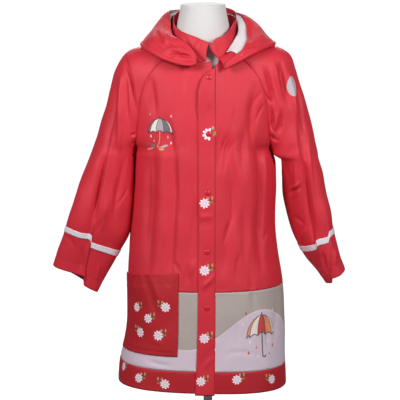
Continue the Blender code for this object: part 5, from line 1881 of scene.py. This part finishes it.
def make_finish(name, colours, wave_length):
    """One material, with its colour, its tone and its bump."""
    kind = name if name in FINISHES else ("thread" if name.startswith("thread") else "ink")
    finish = FINISHES[kind]
    material = bpy.data.materials.new(name)
    material.use_nodes = True
    tree = material.node_tree
    shader = tree.nodes["Principled BSDF"].inputs
    if finish.on_cut:
        place = add_node(tree, "ShaderNodeUVMap", uv_map="cut").outputs[0]
    else:
        place = add_node(tree, "ShaderNodeTexCoord").outputs["Object"]
    own = tint(*INKS[name]) if name in INKS else getattr(colours, COLOUR_OF[name])
    colour = (*own, 1.0)
    if name == "border_print":
        border = placed_group(
            tree, "Wavy Boundary", Place=place, Height=WAVE_HEIGHT, Rise=WAVE_RISE,
            Length=wave_length, Line=0.0009,
        )
        colour = mixed_colours(tree, border["Above"], (*colours.border_foot, 1.0), colour)
        colour = mixed_colours(tree, border["Line"], colour, (*colours.border_line, 1.0))
    tone = placed_group(
        tree, "Soft Tone", Place=place, Color=colour, Spread=finish.spread, Size=finish.size,
        Roughness=finish.roughness,
    )
    tree.links.new(tone["Color"], shader["Base Color"])
    tree.links.new(tone["Roughness"], shader["Roughness"])
    weave = placed_group(tree, "Fine Weave", Place=place, Threads=finish.threads)
    inputs = {"Height": weave["Height"], "Distance": finish.bump}
    bump = add_node(tree, "ShaderNodeBump", inputs).outputs[0]
    if finish.crinkle:
        height = placed_group(tree, "Light Crinkle", Place=place)["Height"]
        inputs = {"Height": height, "Distance": finish.crinkle, "Normal": bump}
        bump = add_node(tree, "ShaderNodeBump", inputs).outputs[0]
    tree.links.new(bump, shader["Normal"])
    for label, value in (
        ("Metallic", finish.metallic), ("Coat Weight", finish.coat),
        ("Coat Roughness", COAT_ROUGHNESS), ("Specular IOR Level", SPECULAR),
        ("Sheen Weight", finish.sheen),
    ):
        shader[label].default_value = value
    if name == "floor":
        seen = add_node(tree, "ShaderNodeLightPath").outputs["Is Camera Ray"]
        shader["Emission Color"].default_value = WHITE
        tree.links.new(seen, shader["Emission Strength"])
    return material


class Finishes(dict):
    """The materials by name, each made when it is first asked for."""

    wave_length = WAVE_LENGTH

    def __missing__(self, name):
        colours = bpy.context.scene.rain_coat_colours
        self[name] = make_finish(name, colours, self.wave_length)
        return self[name]


MATERIALS = Finishes()


# --- studio
FLOOR_REACH = 18.0
FLOOR_STEPS = 13
AIR_LIGHT = 0.20          # the air's light on the coat; the camera sees it white
# Each light's name, watts, size and place; all are aimed at one place.
LIGHTS = (
    ("left_light", 17.9, 0.5, (-0.95, -1.15, 1.38)),
    ("right_light", 17.4, 0.5, (0.95, -1.15, 1.38)),
    ("back_light", 30.0, 1.0, (0.0, 1.9, 1.50)),
)
LIGHTS_AIM = (0.0, 0.0, 0.80)
CAMERA_PLACE = (-0.0144, -3.939, 1.2556)


def build_stage():
    """A pale floor, soft daylight from in front and behind, and the camera."""
    mesh = bpy.data.meshes.new("floor")
    line = np.linspace(-FLOOR_REACH, FLOOR_REACH, FLOOR_STEPS)
    starts = [
        i * FLOOR_STEPS + j for i in range(FLOOR_STEPS - 1) for j in range(FLOOR_STEPS - 1)
    ]
    faces = [(k, k + 1, k + FLOOR_STEPS + 1, k + FLOOR_STEPS) for k in starts]
    mesh.from_pydata([(a, b, 0.0) for b in line for a in line], [], faces)
    mesh.materials.append(MATERIALS["floor"])
    floor = bpy.data.objects.new("floor", mesh)
    scene = bpy.context.scene
    scene.collection.objects.link(floor)

    world = scene.world = bpy.data.worlds.new("studio_air")
    world.use_nodes = True
    tree = world.node_tree
    air = tree.nodes["Background"].inputs
    air["Color"].default_value = WHITE
    seen = add_node(tree, "ShaderNodeLightPath").outputs["Is Camera Ray"]
    strength = calculate(tree, "MULTIPLY_ADD", seen, 1.0 - AIR_LIGHT, AIR_LIGHT)
    tree.links.new(strength, air["Strength"])
    scene.view_settings.view_transform = "Standard"

    for name, energy, size, place in LIGHTS:
        lamp = bpy.data.lights.new(name, "AREA")
        lamp.energy = energy
        lamp.size = size
        light = bpy.data.objects.new(name, lamp)
        scene.collection.objects.link(light)
        light.location = place
        aim = Vector(LIGHTS_AIM) - Vector(place)
        light.rotation_euler = aim.to_track_quat("-Z", "Y").to_euler()

    lens = bpy.data.cameras.new("camera")
    lens.lens = 200.0
    lens.sensor_width = 36.0
    camera = bpy.data.objects.new("camera", lens)
    scene.collection.objects.link(camera)
    camera.location = CAMERA_PLACE
    camera.rotation_euler = (math.radians(90.0) - VIEW_TILT, 0.0, 0.0)
    scene.camera = camera


# --- add-on
def length(name, description, default, low, high):
    return FloatProperty(
        name=name, description=description, default=default, min=low, max=high,
        subtype="DISTANCE", unit="LENGTH",
    )


def colour(name, description, red, green, blue):
    return FloatVectorProperty(
        name=name, description=description, default=tint(red, green, blue), min=0.0, max=1.0,
        size=3, subtype="COLOR",
    )


class RainCoatSizes(PropertyGroup):
    """Sizes of the coat."""

    cloth: length("Coated cloth", "Thickness of the coated cloth", 0.0012, 0.0005, 0.003)
    lining: length("Hood lining", "Thickness of the hood's lining", 0.0010, 0.0005, 0.003)
    grid_step: length("Grid step", "How fine the cloth's grid is", 0.0027, 0.002, 0.01)
    pocket_puff: length("Pocket puff", "How far the pocket's middle stands off", 0.0014, 0.0, 0.01)
    snap_radius: length("Snap radius", "Radius of the snap caps", 0.0052, 0.003, 0.01)


class RainCoatColours(PropertyGroup):
    """Colours of the coat, its form and its stage."""

    coat: colour("Coat", "The coat's red", 208, 41, 57)
    trim: colour("Trim", "The pocket and the hem band", 182, 26, 38)
    border_top: colour("Border above", "The border above its wave", 178, 165, 160)
    border_foot: colour("Border below", "The border below its wave", 214, 196, 209)
    border_line: colour("Border line", "The line along the wave", 226, 214, 214)
    tape: colour("Tape", "The reflective bands", 232, 226, 234)
    reflector: colour("Reflector", "The reflective oval on the sleeve", 182, 172, 178)
    lining: colour("Lining", "The hood's lining", 226, 222, 224)
    snap: colour("Snaps", "The snap caps", 196, 34, 50)
    form: colour("Form", "The dress form's cover", 213, 211, 210)
    tube: colour("Tube", "The stand's tube", 28, 28, 30)
    steel: colour("Steel", "The stand's base and rod", 190, 190, 194)
    thread: colour("Thread", "The seams' thread", 190, 44, 58)
    tape_thread: colour("Tape thread", "The bands' thread", 206, 180, 186)
    floor: colour("Floor", "The studio floor", 105, 105, 105)


def print_all():
    """Every print of the coat."""
    for printed in (print_chest, print_border, print_flowers, print_sleeve):
        printed()


def done(build, *given):
    """Runs one step; one that can't be done raises an error."""
    build(*given)
    return {"FINISHED"}


class RAINCOAT_OT_body(Operator):
    """Build both fronts and the back with their border and hem bands"""

    bl_idname = "rain_coat.body"
    bl_label = "Fronts and Back"

    def execute(self, context):
        return done(build_body, context.scene.rain_coat_sizes)


class RAINCOAT_OT_placket(Operator):
    """Build the snap placket on the fronts"""

    bl_idname = "rain_coat.placket"
    bl_label = "Placket"

    def execute(self, context):
        return done(build_placket, context.scene.rain_coat_sizes)


class RAINCOAT_OT_snaps(Operator):
    """Press the snap caps into the placket"""

    bl_idname = "rain_coat.snaps"
    bl_label = "Snaps"

    def execute(self, context):
        return done(build_snaps, context.scene.rain_coat_sizes)


class RAINCOAT_OT_pocket(Operator):
    """Build the patch pocket on the wearer's right front"""

    bl_idname = "rain_coat.pocket"
    bl_label = "Pocket"

    def execute(self, context):
        return done(build_pocket, context.scene.rain_coat_sizes)


class RAINCOAT_OT_sleeves(Operator):
    """Build both raglan sleeves"""

    bl_idname = "rain_coat.sleeves"
    bl_label = "Sleeves"

    def execute(self, context):
        return done(build_sleeves, context.scene.rain_coat_sizes)


class RAINCOAT_OT_bands(Operator):
    """Sew the reflective bands round the sleeves"""

    bl_idname = "rain_coat.bands"
    bl_label = "Reflective Bands"

    def execute(self, context):
        return done(build_bands, context.scene.rain_coat_sizes)


class RAINCOAT_OT_collar(Operator):
    """Build the stand collar"""

    bl_idname = "rain_coat.collar"
    bl_label = "Collar"

    def execute(self, context):
        return done(build_collar)


class RAINCOAT_OT_hood(Operator):
    """Build the folded hood and its lining"""

    bl_idname = "rain_coat.hood"
    bl_label = "Hood"

    def execute(self, context):
        return done(build_hood, context.scene.rain_coat_sizes)


class RAINCOAT_OT_prints(Operator):
    """Print the umbrellas, raindrops, flowers and the reflective oval"""

    bl_idname = "rain_coat.prints"
    bl_label = "Prints"

    def execute(self, context):
        return done(print_all)


class RAINCOAT_OT_stitches(Operator):
    """Sew the rows of stitches along seams, hems and edges"""

    bl_idname = "rain_coat.stitches"
    bl_label = "Stitches"

    def execute(self, context):
        return done(build_stitches)


class RAINCOAT_OT_form(Operator):
    """Build the limbless dress form"""

    bl_idname = "rain_coat.form"
    bl_label = "Dress Form"

    def execute(self, context):
        return done(build_form)


class RAINCOAT_OT_stand(Operator):
    """Build the form's stand"""

    bl_idname = "rain_coat.stand"
    bl_label = "Stand"

    def execute(self, context):
        return done(build_stand)


class RAINCOAT_OT_stage(Operator):
    """Set up the floor, the lights and the camera"""

    bl_idname = "rain_coat.stage"
    bl_label = "Stage"

    def execute(self, context):
        return done(build_stage)


STEPS = (
    RAINCOAT_OT_body, RAINCOAT_OT_placket, RAINCOAT_OT_snaps, RAINCOAT_OT_pocket,
    RAINCOAT_OT_sleeves, RAINCOAT_OT_bands, RAINCOAT_OT_collar, RAINCOAT_OT_hood,
    RAINCOAT_OT_prints, RAINCOAT_OT_stitches, RAINCOAT_OT_form, RAINCOAT_OT_stand,
    RAINCOAT_OT_stage,
)


class RAINCOAT_PT_panel(Panel):
    """The steps of the rain coat, and its sizes and colours."""

    bl_idname = "RAINCOAT_PT_panel"
    bl_label = "Rain Coat"
    bl_space_type = "VIEW_3D"
    bl_region_type = "UI"
    bl_category = "Rain Coat"

    def draw(self, context):
        for step in STEPS:
            self.layout.operator(step.bl_idname)
        for owner in (context.scene.rain_coat_sizes, context.scene.rain_coat_colours):
            for name in type(owner).__annotations__:
                self.layout.prop(owner, name)


CLASSES = (RainCoatSizes, RainCoatColours) + STEPS + (RAINCOAT_PT_panel,)


def register():
    for made in CLASSES:
        bpy.utils.register_class(made)
    bpy.types.Scene.rain_coat_sizes = PointerProperty(type=RainCoatSizes)
    bpy.types.Scene.rain_coat_colours = PointerProperty(type=RainCoatColours)


def unregister():
    del bpy.types.Scene.rain_coat_colours
    del bpy.types.Scene.rain_coat_sizes
    for made in reversed(CLASSES):
        bpy.utils.unregister_class(made)


def main():
    register()
    for step in STEPS:
        getattr(bpy.ops.rain_coat, step.bl_idname.partition(".")[2])()


if __name__ == "__main__":
    main()
